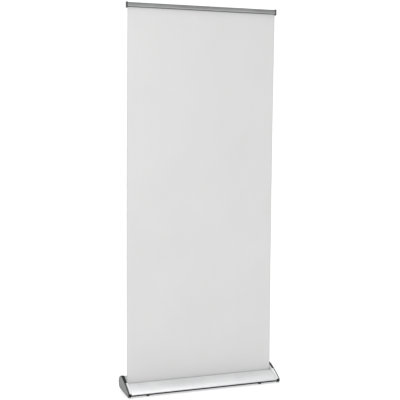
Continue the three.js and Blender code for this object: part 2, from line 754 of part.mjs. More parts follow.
function railJaw() {
  const half = railHalf - GAP;
  const opening = THREE.MathUtils.degToRad(150);
  const closing = THREE.MathUtils.degToRad(395);
  const centre = [HINGE_Y, railBottom + HINGE_HEIGHT];
  const clip = new THREE.Shape();
  clip.absarc(...centre, HINGE_RADIUS * 2, opening, closing);
  clip.absarc(...centre, HINGE_RADIUS + GAP, closing, opening, true);
  const wallBack = JAW_FRONT_Y + 1.8;
  return join(
    prismAcross(clip, -half, half),
    box(-half, half, JAW_FRONT_Y, wallBack, railBottom + GAP, railBottom + HINGE_HEIGHT + 1.4),
    box(-half, half, JAW_FRONT_Y + 1, SLOT_Y - 2, railBottom + GAP, railBottom + 5.2)
  );
}
add("rail_jaw", railJaw(), "aluminium");
add(
  "jaw_grip_strip",
  box(-railHalf + 4, railHalf - 4, SLOT_Y - 1.8, bannerFrontY - 0.15, railBottom + 0.6, railBottom + 4.8),
  "rubber"
);

// ---------------------------------------------------------------- rail end caps and hook bracket
const CAP_LIP = 3;
function railCap(side) {
  const front = JAW_FRONT_Y - CAP_LIP;
  const back = RAIL_BACK_Y + 4.6 + CAP_LIP;
  const low = railBottom - CAP_LIP - 1;
  const high = railTop + CAP_LIP;
  const corner = 2.5;
  const profile = polygon([
    [front + corner, low],
    [back - corner, low],
    [back, low + corner],
    [back, high - corner],
    [back - corner, high],
    [front + corner, high],
    [front, high - corner],
    [front, low + corner],
  ]);
  return prismAcross(profile, ...mirrored(side, railHalf + GAP, railHalf + GAP + RAIL_CAP_THICKNESS), 1);
}
add("rail_cap_left", railCap(-1), "plastic");
add("rail_cap_right", railCap(1), "plastic");

function railHook() {
  const low = railBottom + 4.2;
  const high = railBottom + RAIL_HEIGHT - 7.2;
  const halfPocket = TONGUE_THICKNESS / 2 + GAP;
  const body = box(-20, 20, RAIL_BACK_Y + GAP, TONGUE_Y + 5.5, low, high);
  const pocket = box(
    -TONGUE_HALF_WIDTH - GAP,
    TONGUE_HALF_WIDTH + GAP,
    TONGUE_Y - halfPocket,
    TONGUE_Y + halfPocket,
    low - 1,
    railBottom + TONGUE_HEIGHT + GAP
  );
  const screwHoles = [-1, 1].map((side) =>
    rodDeep(SCREW_RADIUS + RUNNING_GAP, 0, TONGUE_Y + 10, side * HOOK_SCREW_X, railBottom + HOOK_HEIGHT)
  );
  return cut(body, pocket, ...screwHoles);
}
add("rail_hook", railHook(), "plastic");

for (const [side, word] of [[-1, "left"], [1, "right"]]) {
  const headFrom = TONGUE_Y + 5.5 + GAP / 2;
  const x = side * HOOK_SCREW_X;
  add(
    `hook_screw_${word}`,
    join(
      rodDeep(SCREW_RADIUS, bannerBackY + 1, headFrom + 1, x, railBottom + HOOK_HEIGHT, 12),
      rodDeep(SCREW_RADIUS * 2, headFrom, headFrom + 1.6, x, railBottom + HOOK_HEIGHT, 12)
    ),
    "steel"
  );
}

// ---------------------------------------------------------------- the banner itself
const CLAMPED_LENGTH = 18;
add(
  "banner_sheet",
  box(
    -BANNER_WIDTH / 2,
    BANNER_WIDTH / 2,
    bannerFrontY,
    bannerBackY,
    WEB_TOP + GAP,
    railBottom + CLAMPED_LENGTH
  ),
  "film"
);

export default stand;
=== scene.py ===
import math

import bpy
from mathutils import Matrix, Vector


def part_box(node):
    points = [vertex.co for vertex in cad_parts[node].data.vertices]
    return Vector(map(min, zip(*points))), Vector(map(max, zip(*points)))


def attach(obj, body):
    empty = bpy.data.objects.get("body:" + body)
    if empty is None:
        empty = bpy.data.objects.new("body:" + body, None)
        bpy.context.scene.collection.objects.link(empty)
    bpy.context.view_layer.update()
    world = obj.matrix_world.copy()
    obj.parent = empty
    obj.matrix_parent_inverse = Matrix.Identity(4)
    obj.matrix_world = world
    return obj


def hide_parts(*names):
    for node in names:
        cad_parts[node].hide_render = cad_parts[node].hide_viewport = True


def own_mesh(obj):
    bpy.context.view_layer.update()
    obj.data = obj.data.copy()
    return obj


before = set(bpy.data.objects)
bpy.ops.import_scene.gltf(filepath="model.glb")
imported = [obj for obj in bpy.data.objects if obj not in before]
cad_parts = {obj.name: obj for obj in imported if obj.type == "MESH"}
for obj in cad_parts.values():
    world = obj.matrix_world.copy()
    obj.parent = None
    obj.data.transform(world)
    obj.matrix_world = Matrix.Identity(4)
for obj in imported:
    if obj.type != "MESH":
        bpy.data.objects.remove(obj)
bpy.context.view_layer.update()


# ------------------------------------------------------------------ rear housing
# The back of the cassette is one thin-walled aluminium extrusion: floor tray, rear wall and rounded
# hump. It is satin anodised with fine grip lines along the back, and the end plates close its ends.
MM = 0.001

plate_low, plate_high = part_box("end_plate_right")
housing_low, housing_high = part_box("base_housing")
banner_low, banner_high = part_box("banner_sheet")
slot_y = (banner_low[1] + banner_high[1]) / 2
slot_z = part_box("front_cover")[1][2]
pole_y = (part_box("pole_lower_tube")[0][1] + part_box("pole_lower_tube")[1][1]) / 2

NOSE_RADIUS = 12 * MM
NOSE_DROP = 4 * MM
HOUSING_INSET = 3 * MM
HOUSING_WALL = 2 * MM
GRIP_LINE_DEPTH = 0.7 * MM
OUTLINE_STEPS = 40
TAIL_SHARE = 0.57
HEEL_SETBACK = 28 * MM
NOSE_TURN = 130
RISE_PULLS = ((26 * MM, -48 * MM), (-36 * MM, -9 * MM))
FALL_PULLS = ((16 * MM, 2 * MM), (0, 24 * MM))
UNDER_PULLS = ((0, -24 * MM), (20 * MM, 1.5 * MM))
LIP_SETBACK = 3 * MM
TRAY_SETBACK = 12 * MM
TRAY_LIP = 4 * MM
GRIPPED_FROM_Y = 78 * MM
GRIPPED_HEIGHTS = (34 * MM, 68 * MM)
STUD_HOLE_RADIUS = 4 * MM
SOCKET_HOLE_RADIUS = 19.3 * MM


def clear_selection():
    bpy.ops.object.select_all(action="DESELECT")


def select_only(piece):
    clear_selection()
    piece.select_set(True)
    bpy.context.view_layer.objects.active = piece


def apply_modifier(piece, kind, **settings):
    select_only(piece)
    modifier = piece.modifiers.new(kind.title(), kind)
    for name, value in settings.items():
        setattr(modifier, name, value)
    bpy.ops.object.modifier_apply(modifier=modifier.name)


def smooth(piece, degrees=30):
    select_only(piece)
    bpy.ops.object.shade_smooth_by_angle(angle=math.radians(degrees))


def soften(piece, width, segments=2, degrees=30):
    """Rounds the edges sharper than the angle and shades the rest smooth."""
    apply_modifier(
        piece,
        "BEVEL",
        width=width,
        segments=segments,
        limit_method="ANGLE",
        angle_limit=math.radians(degrees),
        harden_normals=False,
    )
    smooth(piece, degrees)


def place_in_mesh(piece, name):
    """Names the piece and leaves its object at the origin, unturned, with its place in its mesh."""
    select_only(piece)
    bpy.ops.object.transform_apply(location=True, rotation=True, scale=True)
    piece.name = name
    piece.data.name = name
    return piece


def draw_outline(points):
    """Draws (y, z) points as a chain of edges at x = 0 by extruding one vertex, left in edit mode."""
    clear_selection()
    bpy.ops.mesh.primitive_plane_add(size=MM, location=(0, points[0][0], points[0][1]))
    bpy.ops.object.transform_apply(location=True)
    piece = bpy.context.object
    bpy.ops.object.mode_set(mode="EDIT")
    bpy.ops.mesh.select_mode(type="VERT")
    bpy.ops.mesh.select_all(action="SELECT")
    bpy.ops.mesh.merge(type="CENTER")
    for (y0, z0), (y1, z1) in zip(points, points[1:]):
        bpy.ops.mesh.extrude_region_move(TRANSFORM_OT_translate={"value": (0, y1 - y0, z1 - z0)})
    return piece


def bar(name, points, from_x, to_x):
    """Fills a closed (y, z) outline and extrudes it from one x to another."""
    piece = draw_outline(points)
    bpy.ops.mesh.select_all(action="SELECT")
    bpy.ops.mesh.edge_face_add()
    bpy.ops.transform.translate(value=(from_x, 0, 0))
    bpy.ops.mesh.extrude_region_move(TRANSFORM_OT_translate={"value": (to_x - from_x, 0, 0)})
    bpy.ops.mesh.select_all(action="SELECT")
    bpy.ops.mesh.normals_make_consistent(inside=False)
    bpy.ops.object.mode_set(mode="OBJECT")
    return place_in_mesh(piece, name)


def bezier(start, pull_start, pull_end, end, steps):
    """Points of a cubic curve, without its first one."""
    points = []
    for step in range(1, steps + 1):
        t = step / steps
        a, b, c, d = (1 - t) ** 3, 3 * t * (1 - t) ** 2, 3 * t * t * (1 - t), t**3
        points.append(
            (
                a * start[0] + b * pull_start[0] + c * pull_end[0] + d * end[0],
                a * start[1] + b * pull_start[1] + c * pull_end[1] + d * end[1],
            )
        )
    return points


def pulled(point, pull):
    return (point[0] + pull[0], point[1] + pull[1])


def teardrop(nose_drop):
    """The base's outline: under the nose, up the front slope, over the hump and down the back."""
    nose_y, tail_y, under = plate_low[1], plate_high[1], plate_low[2] + NOSE_DROP
    radius = NOSE_RADIUS + nose_drop / 2
    centre = (nose_y + radius, under - nose_drop + radius)
    apex = (pole_y - 2 * MM, plate_high[2])
    tail = (tail_y, under + TAIL_SHARE * (apex[1] - under))
    heel = (tail_y - HEEL_SETBACK, 2 * under)
    points = []
    for step in range(OUTLINE_STEPS + 1):
        angle = math.radians(-90 - NOSE_TURN * step / OUTLINE_STEPS)
        points.append((centre[0] + radius * math.cos(angle), centre[1] + radius * math.sin(angle)))
    rise = (pulled((nose_y, apex[1]), RISE_PULLS[0]), pulled(apex, RISE_PULLS[1]))
    fall = (pulled(apex, FALL_PULLS[0]), pulled(tail, FALL_PULLS[1]))
    under_tail = (pulled(tail, UNDER_PULLS[0]), pulled(heel, UNDER_PULLS[1]))
    points += bezier(points[-1], *rise, apex, OUTLINE_STEPS)
    points += bezier(apex, *fall, tail, OUTLINE_STEPS)
    points += bezier(tail, *under_tail, heel, OUTLINE_STEPS // 2)
    return points


def shifted_in(points, distance):
    """A closed clockwise outline moved inwards."""
    moved = []
    for index, (y, z) in enumerate(points):
        before = Vector(points[index - 1])
        after = Vector(points[(index + 1) % len(points)])
        along = (after - before).normalized()
        moved.append((y + along.y * distance, z - along.x * distance))
    return moved


def wall(points, thickness):
    """The outline of a thin wall whose outer face runs through the points."""
    inner = []
    for index, point in enumerate(points):
        here = Vector(point)
        before = (here - Vector(points[index - 1])).normalized() if index else None
        after = (Vector(points[index + 1]) - here).normalized() if index + 1 < len(points) else None
        along = ((before or after) + (after or before)).normalized()
        reach = thickness / max(along.dot(after or before), 0.5)
        inner.append((here.x + along.y * reach, here.y - along.x * reach))
    return points + inner[::-1]


outline = teardrop(0)
skin = shifted_in(outline, HOUSING_INSET)
floor_front, floor_back = skin[0], skin[-1]


def floor_height(y):
    """Height of the housing's underside, which rises a little towards the back."""
    share = (y - floor_front[0]) / (floor_back[0] - floor_front[0])
    return floor_front[1] + share * (floor_back[1] - floor_front[1])


def with_grip_lines(points):
    """Sinks every fourth point of the upper back wall, as fine grip lines."""
    grooved = []
    deeper = shifted_in(points, GRIP_LINE_DEPTH)
    for index, point in enumerate(points):
        on_back = point[0] > GRIPPED_FROM_Y and GRIPPED_HEIGHTS[0] < point[1] < GRIPPED_HEIGHTS[1]
        grooved.append(deeper[index] if on_back and index % 4 == 0 else point)
    return grooved


def make_housing():
    lip_y = slot_y + LIP_SETBACK
    over_hump = [p for p in skin if p[1] > slot_z and p[0] > lip_y + 4 * MM]
    down_back = [p for p in skin if p[1] <= slot_z and p[0] > floor_back[0] - MM]
    tray_front = plate_low[1] + TRAY_SETBACK
    tray_floor = floor_height(tray_front)
    path = [
        (lip_y, slot_z - 7 * MM),
        (lip_y, over_hump[0][1] - 4 * MM),
        (lip_y + 1.5 * MM, over_hump[0][1] - 1.5 * MM),
    ]
    path += with_grip_lines(over_hump + down_back)
    path += [(tray_front, tray_floor), (tray_front, tray_floor + TRAY_LIP)]
    housing = bar("base_housing_shell", wall(path, HOUSING_WALL), housing_low[0], housing_high[0])
    smooth(housing, 25)
    return housing


def drill(piece, radius, place, depth, turn=(0, 0, 0)):
    """Cuts a round hole with a cylinder, which is then deleted."""
    clear_selection()
    bpy.ops.mesh.primitive_cylinder_add(
        vertices=32, radius=radius, depth=depth, location=place, rotation=turn
    )
    cutter = bpy.context.object
    apply_modifier(piece, "BOOLEAN", operation="DIFFERENCE", object=cutter, solver="EXACT")
    bpy.data.objects.remove(cutter)


housing = make_housing()
for side in ("left", "right"):
    stud_low, stud_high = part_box(f"front_foot_stud_{side}")
    stud_x = (stud_low[0] + stud_high[0]) / 2
    stud_y = (stud_low[1] + stud_high[1]) / 2
    drill(housing, STUD_HOLE_RADIUS, (stud_x, stud_y, 12 * MM), 14 * MM)
socket_low, socket_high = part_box("pole_socket")
drill(housing, SOCKET_HOLE_RADIUS, (0, pole_y, housing_high[2]), 50 * MM)


def new_group(name, inputs, outputs):
    """A shader node group; inputs are (name, socket type, value) and outputs (name, socket type)."""
    group = bpy.data.node_groups.new(name, "ShaderNodeTree")
    for label, kind, value in inputs:
        socket = group.interface.new_socket(name=label, in_out="INPUT", socket_type=kind)
        if value is not None:
            socket.default_value = value
    for label, kind in outputs:
        group.interface.new_socket(name=label, in_out="OUTPUT", socket_type=kind)
    source = group.nodes.new("NodeGroupInput")
    sink = group.nodes.new("NodeGroupOutput")
    return group, source, sink


def add_node(tree, kind, values=None, **settings):
    """Adds a node, sets its properties and then its unlinked inputs by name or number."""
    node = tree.nodes.new(kind)
    for name, value in settings.items():
        setattr(node, name, value)
    for name, value in (values or {}).items():
        node.inputs[name].default_value = value
    return node


def feed(tree, value, socket):
    """Links the value when it is a socket, and sets it when it is plain."""
    if isinstance(value, bpy.types.NodeSocket):
        tree.links.new(value, socket)
    else:
        socket.default_value = value


def texture(tree, kind, vector, values, **settings):
    """A texture node fed by a vector."""
    node = add_node(tree, f"ShaderNodeTex{kind}", values, **settings)
    tree.links.new(vector, node.inputs["Vector"])
    return node


def maths(tree, operation, *values):
    """A Math node on sockets and plain numbers. Gives the result socket."""
    node = add_node(tree, "ShaderNodeMath", operation=operation)
    for index, value in enumerate(values):
        feed(tree, value, node.inputs[index])
    return node.outputs[0]


def blend_colours(tree, factor, first, second, mode="MIX"):
    """Mixes two colours by a factor; each may be a socket or a plain value. Gives the result socket."""
    node = add_node(tree, "ShaderNodeMix", data_type="RGBA", blend_type=mode)
    for index, value in ((0, factor), (6, first), (7, second)):
        feed(tree, value, node.inputs[index])
    return node.outputs[2]


def spread(tree, value, low, high, from_low=0.0, from_high=1.0):
    """Maps a value from one range to another, clamped."""
    node = add_node(tree, "ShaderNodeMapRange", {"From Min": from_low, "From Max": from_high})
    for name, limit in (("Value", value), ("To Min", low), ("To Max", high)):
        feed(tree, limit, node.inputs[name])
    return node.outputs["Result"]


def build_drawn_metal():
    """Anodised extrusion: fine lines along the vector's X, soft clouds, and a faint pitted grain."""
    group, source, sink = new_group(
        "drawn_metal",
        [
            ("Vector", "NodeSocketVector", None),
            ("Pale", "NodeSocketColor", (0.7, 0.7, 0.7, 1)),
            ("Deep", "NodeSocketColor", (0.5, 0.5, 0.5, 1)),
            ("Roughness Low", "NodeSocketFloat", 0.3),
            ("Roughness High", "NodeSocketFloat", 0.5),
        ],
        [("Color", "NodeSocketColor"), ("Roughness", "NodeSocketFloat"), ("Height", "NodeSocketFloat")],
    )
    vector = source.outputs["Vector"]
    stretch = add_node(group, "ShaderNodeMapping", {"Scale": (0.012, 1, 1)})
    group.links.new(vector, stretch.inputs["Vector"])
    drawn = stretch.outputs["Vector"]
    lines = texture(group, "Noise", drawn, {"Scale": 1400, "Detail": 3, "Roughness": 0.65})
    broad = texture(group, "Noise", drawn, {"Scale": 230, "Detail": 2, "Roughness": 0.5})
    clouds = texture(group, "Noise", vector, {"Scale": 9, "Detail": 4, "Roughness": 0.55})
    grain = texture(group, "Noise", vector, {"Scale": 3200, "Detail": 1})
    fine_lines = spread(group, lines.outputs["Fac"], 0.0, 0.6, 0.3, 0.7)
    broad_lines = spread(group, broad.outputs["Fac"], 0.0, 0.4, 0.35, 0.65)
    streaks = maths(group, "ADD", fine_lines, broad_lines)
    tint = blend_colours(group, streaks, source.outputs["Deep"], source.outputs["Pale"])
    cloudy = spread(group, clouds.outputs["Fac"], 0.93, 1.03, 0.3, 0.7)
    shade = add_node(group, "ShaderNodeCombineColor")
    for channel in ("Red", "Green", "Blue"):
        group.links.new(cloudy, shade.inputs[channel])
    colour = blend_colours(group, 1.0, tint, shade.outputs["Color"], "MULTIPLY")
    cloud_share = spread(group, clouds.outputs["Fac"], 0.0, 0.4, 0.35, 0.65)
    worn = maths(group, "MULTIPLY_ADD", streaks, 0.6, cloud_share)
    rough_low, rough_high = source.outputs["Roughness Low"], source.outputs["Roughness High"]
    rough = spread(group, worn, rough_low, rough_high)
    height = maths(group, "MULTIPLY_ADD", grain.outputs["Fac"], 0.35, streaks)
    group.links.new(colour, sink.inputs["Color"])
    group.links.new(rough, sink.inputs["Roughness"])
    group.links.new(height, sink.inputs["Height"])
    return group


drawn_metal = build_drawn_metal()


def new_material(name):
    """A node material with its Principled shader; gives the material, its tree and the shader."""
    material = bpy.data.materials.new(name)
    material.use_nodes = True
    tree = material.node_tree
    return material, tree, tree.nodes["Principled BSDF"]


def place_group(tree, group, vector, **values):
    """Puts a group in a material, fed by a vector, with the material's own values."""
    node = tree.nodes.new("ShaderNodeGroup")
    node.node_tree = group
    tree.links.new(vector, node.inputs["Vector"])
    for name, value in values.items():
        node.inputs[name.replace("_", " ").title()].default_value = value
    return node


def object_coordinates(tree, turn=(0, 0, 0), scale=(1, 1, 1)):
    """Object coordinates through a Mapping node."""
    where = tree.nodes.new("ShaderNodeTexCoord")
    mapping = add_node(tree, "ShaderNodeMapping", {"Rotation": turn, "Scale": scale})
    tree.links.new(where.outputs["Object"], mapping.inputs["Vector"])
    return mapping.outputs["Vector"]


def cover_surface(tree, shader, colour, roughness, metallic=0.0):
    """Gives the shader its colour, roughness and constant metallic share."""
    tree.links.new(colour, shader.inputs["Base Color"])
    feed(tree, roughness, shader.inputs["Roughness"])
    shader.inputs["Metallic"].default_value = metallic


def raise_surface(tree, shader, height, strength, distance):
    """Bumps the shader's normal by a height."""
    bump = add_node(tree, "ShaderNodeBump", {"Strength": strength, "Distance": distance})
    tree.links.new(height, bump.inputs["Height"])
    tree.links.new(bump.outputs["Normal"], shader.inputs["Normal"])


def drawn_metal_material(name, pale, deep, roughness, metallic, turn=(0, 0, 0), bump=0.25):
    material, tree, shader = new_material(name)
    metal = place_group(
        tree,
        drawn_metal,
        object_coordinates(tree, turn),
        pale=pale,
        deep=deep,
        roughness_low=roughness[0],
        roughness_high=roughness[1],
    )
    cover_surface(tree, shader, metal.outputs["Color"], metal.outputs["Roughness"], metallic)
    raise_surface(tree, shader, metal.outputs["Height"], bump, 0.05 * MM)
    return material


def give(piece, material, body, slot, *nodes):
    """The piece takes its material, rides on its body and stands for CAD nodes. Its slot is not used."""
    piece.data.materials.clear()
    piece.data.materials.append(material)
    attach(piece, body)
    if nodes:
        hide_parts(*nodes)


SATIN_SILVER = ((0.60, 0.61, 0.62, 1), (0.46, 0.47, 0.48, 1))
housing_metal = drawn_metal_material("satin_anodised_housing", *SATIN_SILVER, (0.32, 0.5), 0.85)
give(housing, housing_metal, "base", "anodised_aluminium", "base_housing")


# ------------------------------------------------------------------ front cover
# The sloping front of the cassette is a light silver aluminium cover, slightly rounded, that hooks on
# the tray's front lip. Its upper edge turns down along the slot, where the banner comes out.
COVER_WALL = 1.8 * MM
COVER_LIP = 5 * MM
COVER_STEPS = 28
COVER_FOOT = 9 * MM
COVER_PULL = (32 * MM, -17 * MM)

cover_low, cover_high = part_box("front_cover")


def make_cover():
    foot = (plate_low[1] + COVER_FOOT, plate_low[2] + NOSE_DROP + COVER_FOOT)
    pull = pulled((plate_low[1], slot_z), COVER_PULL)
    top = (cover_high[1], slot_z)
    path = [
        (foot[0] + 1.6 * MM, foot[1] - 1.4 * MM),
        (foot[0] + 0.3 * MM, foot[1] - 1.5 * MM),
        (foot[0] - 0.7 * MM, foot[1] - 0.9 * MM),
        (foot[0] - 0.9 * MM, foot[1] + 0.2 * MM),
        (foot[0] - 0.2 * MM, foot[1] + 1.3 * MM),
    ]
    for step in range(2, COVER_STEPS + 1):
        t = step / COVER_STEPS
        y = (1 - t) ** 2 * foot[0] + 2 * t * (1 - t) * pull[0] + t * t * top[0]
        z = (1 - t) ** 2 * foot[1] + 2 * t * (1 - t) * pull[1] + t * t * top[1]
        path.append((y, z))
    path.append((top[0], top[1] - COVER_LIP))
    cover = bar("front_cover_panel", wall(path, COVER_WALL), cover_low[0], cover_high[0])
    soften(cover, 0.5 * MM, 3)
    return cover


cover = make_cover()
cover_metal = drawn_metal_material(
    "light_silver_cover", (0.88, 0.885, 0.89, 1), (0.81, 0.815, 0.82, 1), (0.38, 0.54), 0.6, bump=0.15
)
give(cover, cover_metal, "base", "cover_aluminium", "front_cover")


# ------------------------------------------------------------------ front floor strip
# A dark rubber extrusion closes the gap under the cover; its near-black colour is painted shade for the
# shadowed gap there. It is pushed along the tray's front lip and has two fine drip lines on its face.
strip_low, strip_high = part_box("front_edge_strip")


def make_floor_strip():
    back, front = strip_high[1], strip_low[1]
    low, high = strip_low[2], strip_high[2]
    face = [
        (back, low),
        (front + 2 * MM, low),
        (front + 0.6 * MM, low + 0.6 * MM),
        (front, low + 1.8 * MM),
    ]
    for line in (low + 2.8 * MM, low + 4.4 * MM):
        face += [(front, line), (front + 0.4 * MM, line + 0.25 * MM), (front, line + 0.5 * MM)]
    face += [(front, high - MM), (front + 0.4 * MM, high - 0.3 * MM), (front + MM, high), (back, high)]
    strip = bar("front_floor_strip", face, strip_low[0], strip_high[0])
    smooth(strip, 40)
    return strip


def build_moulded_grain():
    """Moulded plastic or rubber: a fine pitted grain, soft handling marks and a little dust."""
    group, source, sink = new_group(
        "moulded_grain",
        [
            ("Vector", "NodeSocketVector", None),
            ("Pale", "NodeSocketColor", (0.1, 0.1, 0.1, 1)),
            ("Deep", "NodeSocketColor", (0.05, 0.05, 0.05, 1)),
            ("Grain Scale", "NodeSocketFloat", 2200.0),
            ("Roughness Low", "NodeSocketFloat", 0.4),
            ("Roughness High", "NodeSocketFloat", 0.6),
            ("Dust", "NodeSocketFloat", 0.04),
        ],
        [("Color", "NodeSocketColor"), ("Roughness", "NodeSocketFloat"), ("Height", "NodeSocketFloat")],
    )
    vector = source.outputs["Vector"]
    grain = texture(group, "Noise", vector, {"Detail": 2, "Roughness": 0.6})
    marks = texture(group, "Noise", vector, {"Scale": 35, "Detail": 5, "Roughness": 0.6})
    specks = texture(group, "Voronoi", vector, {"Scale": 900}, feature="F1")
    group.links.new(source.outputs["Grain Scale"], grain.inputs["Scale"])
    tone = spread(group, marks.outputs["Fac"], 0.0, 1.0, 0.35, 0.65)
    tint = blend_colours(group, tone, source.outputs["Deep"], source.outputs["Pale"])
    near_speck = spread(group, specks.outputs["Distance"], 1.0, 0.0, 0.0, 0.28)
    dusty = maths(group, "MULTIPLY", near_speck, source.outputs["Dust"])
    colour = blend_colours(group, dusty, tint, (0.55, 0.54, 0.52, 1))
    rough = spread(group, tone, source.outputs["Roughness Low"], source.outputs["Roughness High"])
    group.links.new(colour, sink.inputs["Color"])
    group.links.new(rough, sink.inputs["Roughness"])
    group.links.new(grain.outputs["Fac"], sink.inputs["Height"])
    return group


moulded_grain = build_moulded_grain()


def build_edge_rub():
    """A mask of the outer edges, broken up by noise, where handling polishes a moulding."""
    group, source, sink = new_group(
        "edge_rub",
        [("Vector", "NodeSocketVector", None), ("Width", "NodeSocketFloat", 0.0008)],
        [("Mask", "NodeSocketFloat")],
    )
    rounded = add_node(group, "ShaderNodeBevel", samples=4)
    group.links.new(source.outputs["Width"], rounded.inputs["Radius"])
    flat = group.nodes.new("ShaderNodeNewGeometry")
    likeness = add_node(group, "ShaderNodeVectorMath", operation="DOT_PRODUCT")
    group.links.new(rounded.outputs["Normal"], likeness.inputs[0])
    group.links.new(flat.outputs["Normal"], likeness.inputs[1])
    edge = spread(group, likeness.outputs["Value"], 1.0, 0.0, 0.75, 0.98)
    patches = texture(
        group, "Noise", source.outputs["Vector"], {"Scale": 120, "Detail": 4, "Roughness": 0.7}
    )
    patchy = spread(group, patches.outputs["Fac"], 0.0, 1.0, 0.4, 0.62)
    group.links.new(maths(group, "MULTIPLY", edge, patchy), sink.inputs["Mask"])
    return group


edge_rub = build_edge_rub()


def moulded_material(
    name, pale, deep, roughness, dust=0.04, bump=0.2, rub=0, coat=0, shine=0.5, pitting=2200
):
    """A moulded finish with grain, dust and rubbed edges; coat gives a gloss skin over it."""
    material, tree, shader = new_material(name)
    where = object_coordinates(tree)
    grain = place_group(
        tree,
        moulded_grain,
        where,
        pale=pale,
        deep=deep,
        grain_scale=pitting,
        roughness_low=roughness[0],
        roughness_high=roughness[1],
        dust=dust,
    )
    colour = grain.outputs["Color"]
    if rub > 0:
        rubbed = place_group(tree, edge_rub, where)
        share = spread(tree, rubbed.outputs["Mask"], 0.0, rub)
        lighter = tuple(min(1.0, channel * 2.2 + 0.03) for channel in pale[:3]) + (1,)
        colour = blend_colours(tree, share, colour, lighter)
    cover_surface(tree, shader, colour, grain.outputs["Roughness"])
    shader.inputs["Specular IOR Level"].default_value = shine
    shader.inputs["Coat Weight"].default_value = coat
    shader.inputs["Coat Roughness"].default_value = 0.12
    raise_surface(tree, shader, grain.outputs["Height"], bump, 0.06 * MM)
    return material


strip = make_floor_strip()
# Near-black painted shade for the front strip; the jaw's grip strip uses the same dark rubber.
shade_strip_and_grip_rubber = moulded_material(
    "dark_rubber_and_painted_shade",
    (0.035, 0.035, 0.037, 1),
    (0.022, 0.022, 0.024, 1),
    (0.5, 0.72),
    dust=0.02,
    shine=0.3,
)
give(strip, shade_strip_and_grip_rubber, "base", "rubber", "front_edge_strip")


# ------------------------------------------------------------------ slot brushes
# Two grey pile strips line the slot and wipe the banner as it winds in. Each is a narrow woven backing
# with short dense pile on it, slid into a groove of its extrusion.
PILE_STEP = 3 * MM
PILE_DIP = 0.25 * MM
PILE_SWAY = 0.12 * MM
DIP_WAVES = (2100, 5300)
SWAY_WAVE = 3700


def make_brush(node):
    low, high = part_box(node)
    middle = (low[1] + high[1]) / 2
    half = (high[1] - low[1]) / 2
    profile = [
        (low[1], low[2]),
        (high[1], low[2]),
        (high[1], low[2] + 1.2 * MM),
        (middle + half * 0.7, low[2] + 1.6 * MM),
        (middle + half * 0.85, high[2] - 0.8 * MM),
        (middle + half * 0.35, high[2] - 0.1 * MM),
        (middle - half * 0.35, high[2] - 0.1 * MM),
        (middle - half * 0.85, high[2] - 0.8 * MM),
        (middle - half * 0.7, low[2] + 1.6 * MM),
        (low[1], low[2] + 1.2 * MM),
    ]
    brush = bar(f"{node}_pile", profile, low[0], high[0])
    cuts = int((high[0] - low[0]) / PILE_STEP)
    select_only(brush)
    bpy.ops.object.mode_set(mode="EDIT")
    bpy.ops.mesh.select_mode(type="EDGE")
    bpy.ops.mesh.select_all(action="DESELECT")
    bpy.ops.object.mode_set(mode="OBJECT")
    for edge in brush.data.edges:
        a, b = (brush.data.vertices[index].co for index in edge.vertices)
        edge.select = abs(a.x - b.x) > 0.1
    bpy.ops.object.mode_set(mode="EDIT")
    bpy.ops.mesh.subdivide(number_cuts=cuts, quadcorner="STRAIGHT_CUT")
    bpy.ops.object.mode_set(mode="OBJECT")
    for vertex in brush.data.vertices:
        if vertex.co.z > low[2] + 2 * MM and low[0] + MM < vertex.co.x < high[0] - MM:
            wave = math.sin(vertex.co.x * DIP_WAVES[0]) * math.sin(vertex.co.x * DIP_WAVES[1] + 1)
            vertex.co.z -= PILE_DIP * (1 + wave)
            vertex.co.y += PILE_SWAY * math.sin(vertex.co.x * SWAY_WAVE)
    smooth(brush, 60)
    return brush


def pile_material():
    """Upright pile: streaks across the strip."""
    material, tree, shader = new_material("grey_pile")
    upright = object_coordinates(tree, scale=(1, 1, 0.06))
    fibres = texture(tree, "Noise", upright, {"Scale": 2600, "Detail": 4, "Roughness": 0.7})
    share = spread(tree, fibres.outputs["Fac"], 0.0, 1.0, 0.35, 0.65)
    colour = blend_colours(tree, share, (0.16, 0.163, 0.168, 1), (0.36, 0.365, 0.37, 1))
    cover_surface(tree, shader, colour, 0.95)
    shader.inputs["Sheen Weight"].default_value = 0.4
    shader.inputs["Sheen Roughness"].default_value = 0.5
    raise_surface(tree, shader, fibres.outputs["Fac"], 0.6, 0.2 * MM)
    return material


grey_pile = pile_material()
for node in ("slot_brush_front", "slot_brush_rear"):
    give(make_brush(node), grey_pile, "base", "brush_pile", node)


# ------------------------------------------------------------------ end plates
# Teardrop mouldings close both ends of the cassette. Each is silver grey outside with a shallow sunk
# panel. Inside a fine parting line it is light, a painted highlight on the inner bevel; along its front
# edge it is dark, a painted reflection; and round the nose, which hangs below the cover, it is black,
# painted shade.
PLATE_BEVEL = 3 * MM
RIM_WIDTH = 2.2 * MM
PANEL_DEPTH = 1.0 * MM
PARTING_LINE = 10.5 * MM
LINE_DEPTH = 0.3 * MM
# Reach of the painted black shade round the nose.
NOSE_SHADE_DEPTH = 15 * MM
NOSE_SHADE_HEIGHT = 1.8 * NOSE_RADIUS

plate_outline = teardrop(NOSE_DROP)


def inset_selected(thickness, depth):
    bpy.ops.mesh.inset(thickness=thickness, depth=depth, use_even_offset=True)


def faces_towards(piece, direction, limit=0.95):
    """Selects the faces whose normals point one way."""
    for polygon in piece.data.polygons:
        polygon.select = polygon.normal.dot(direction) > limit


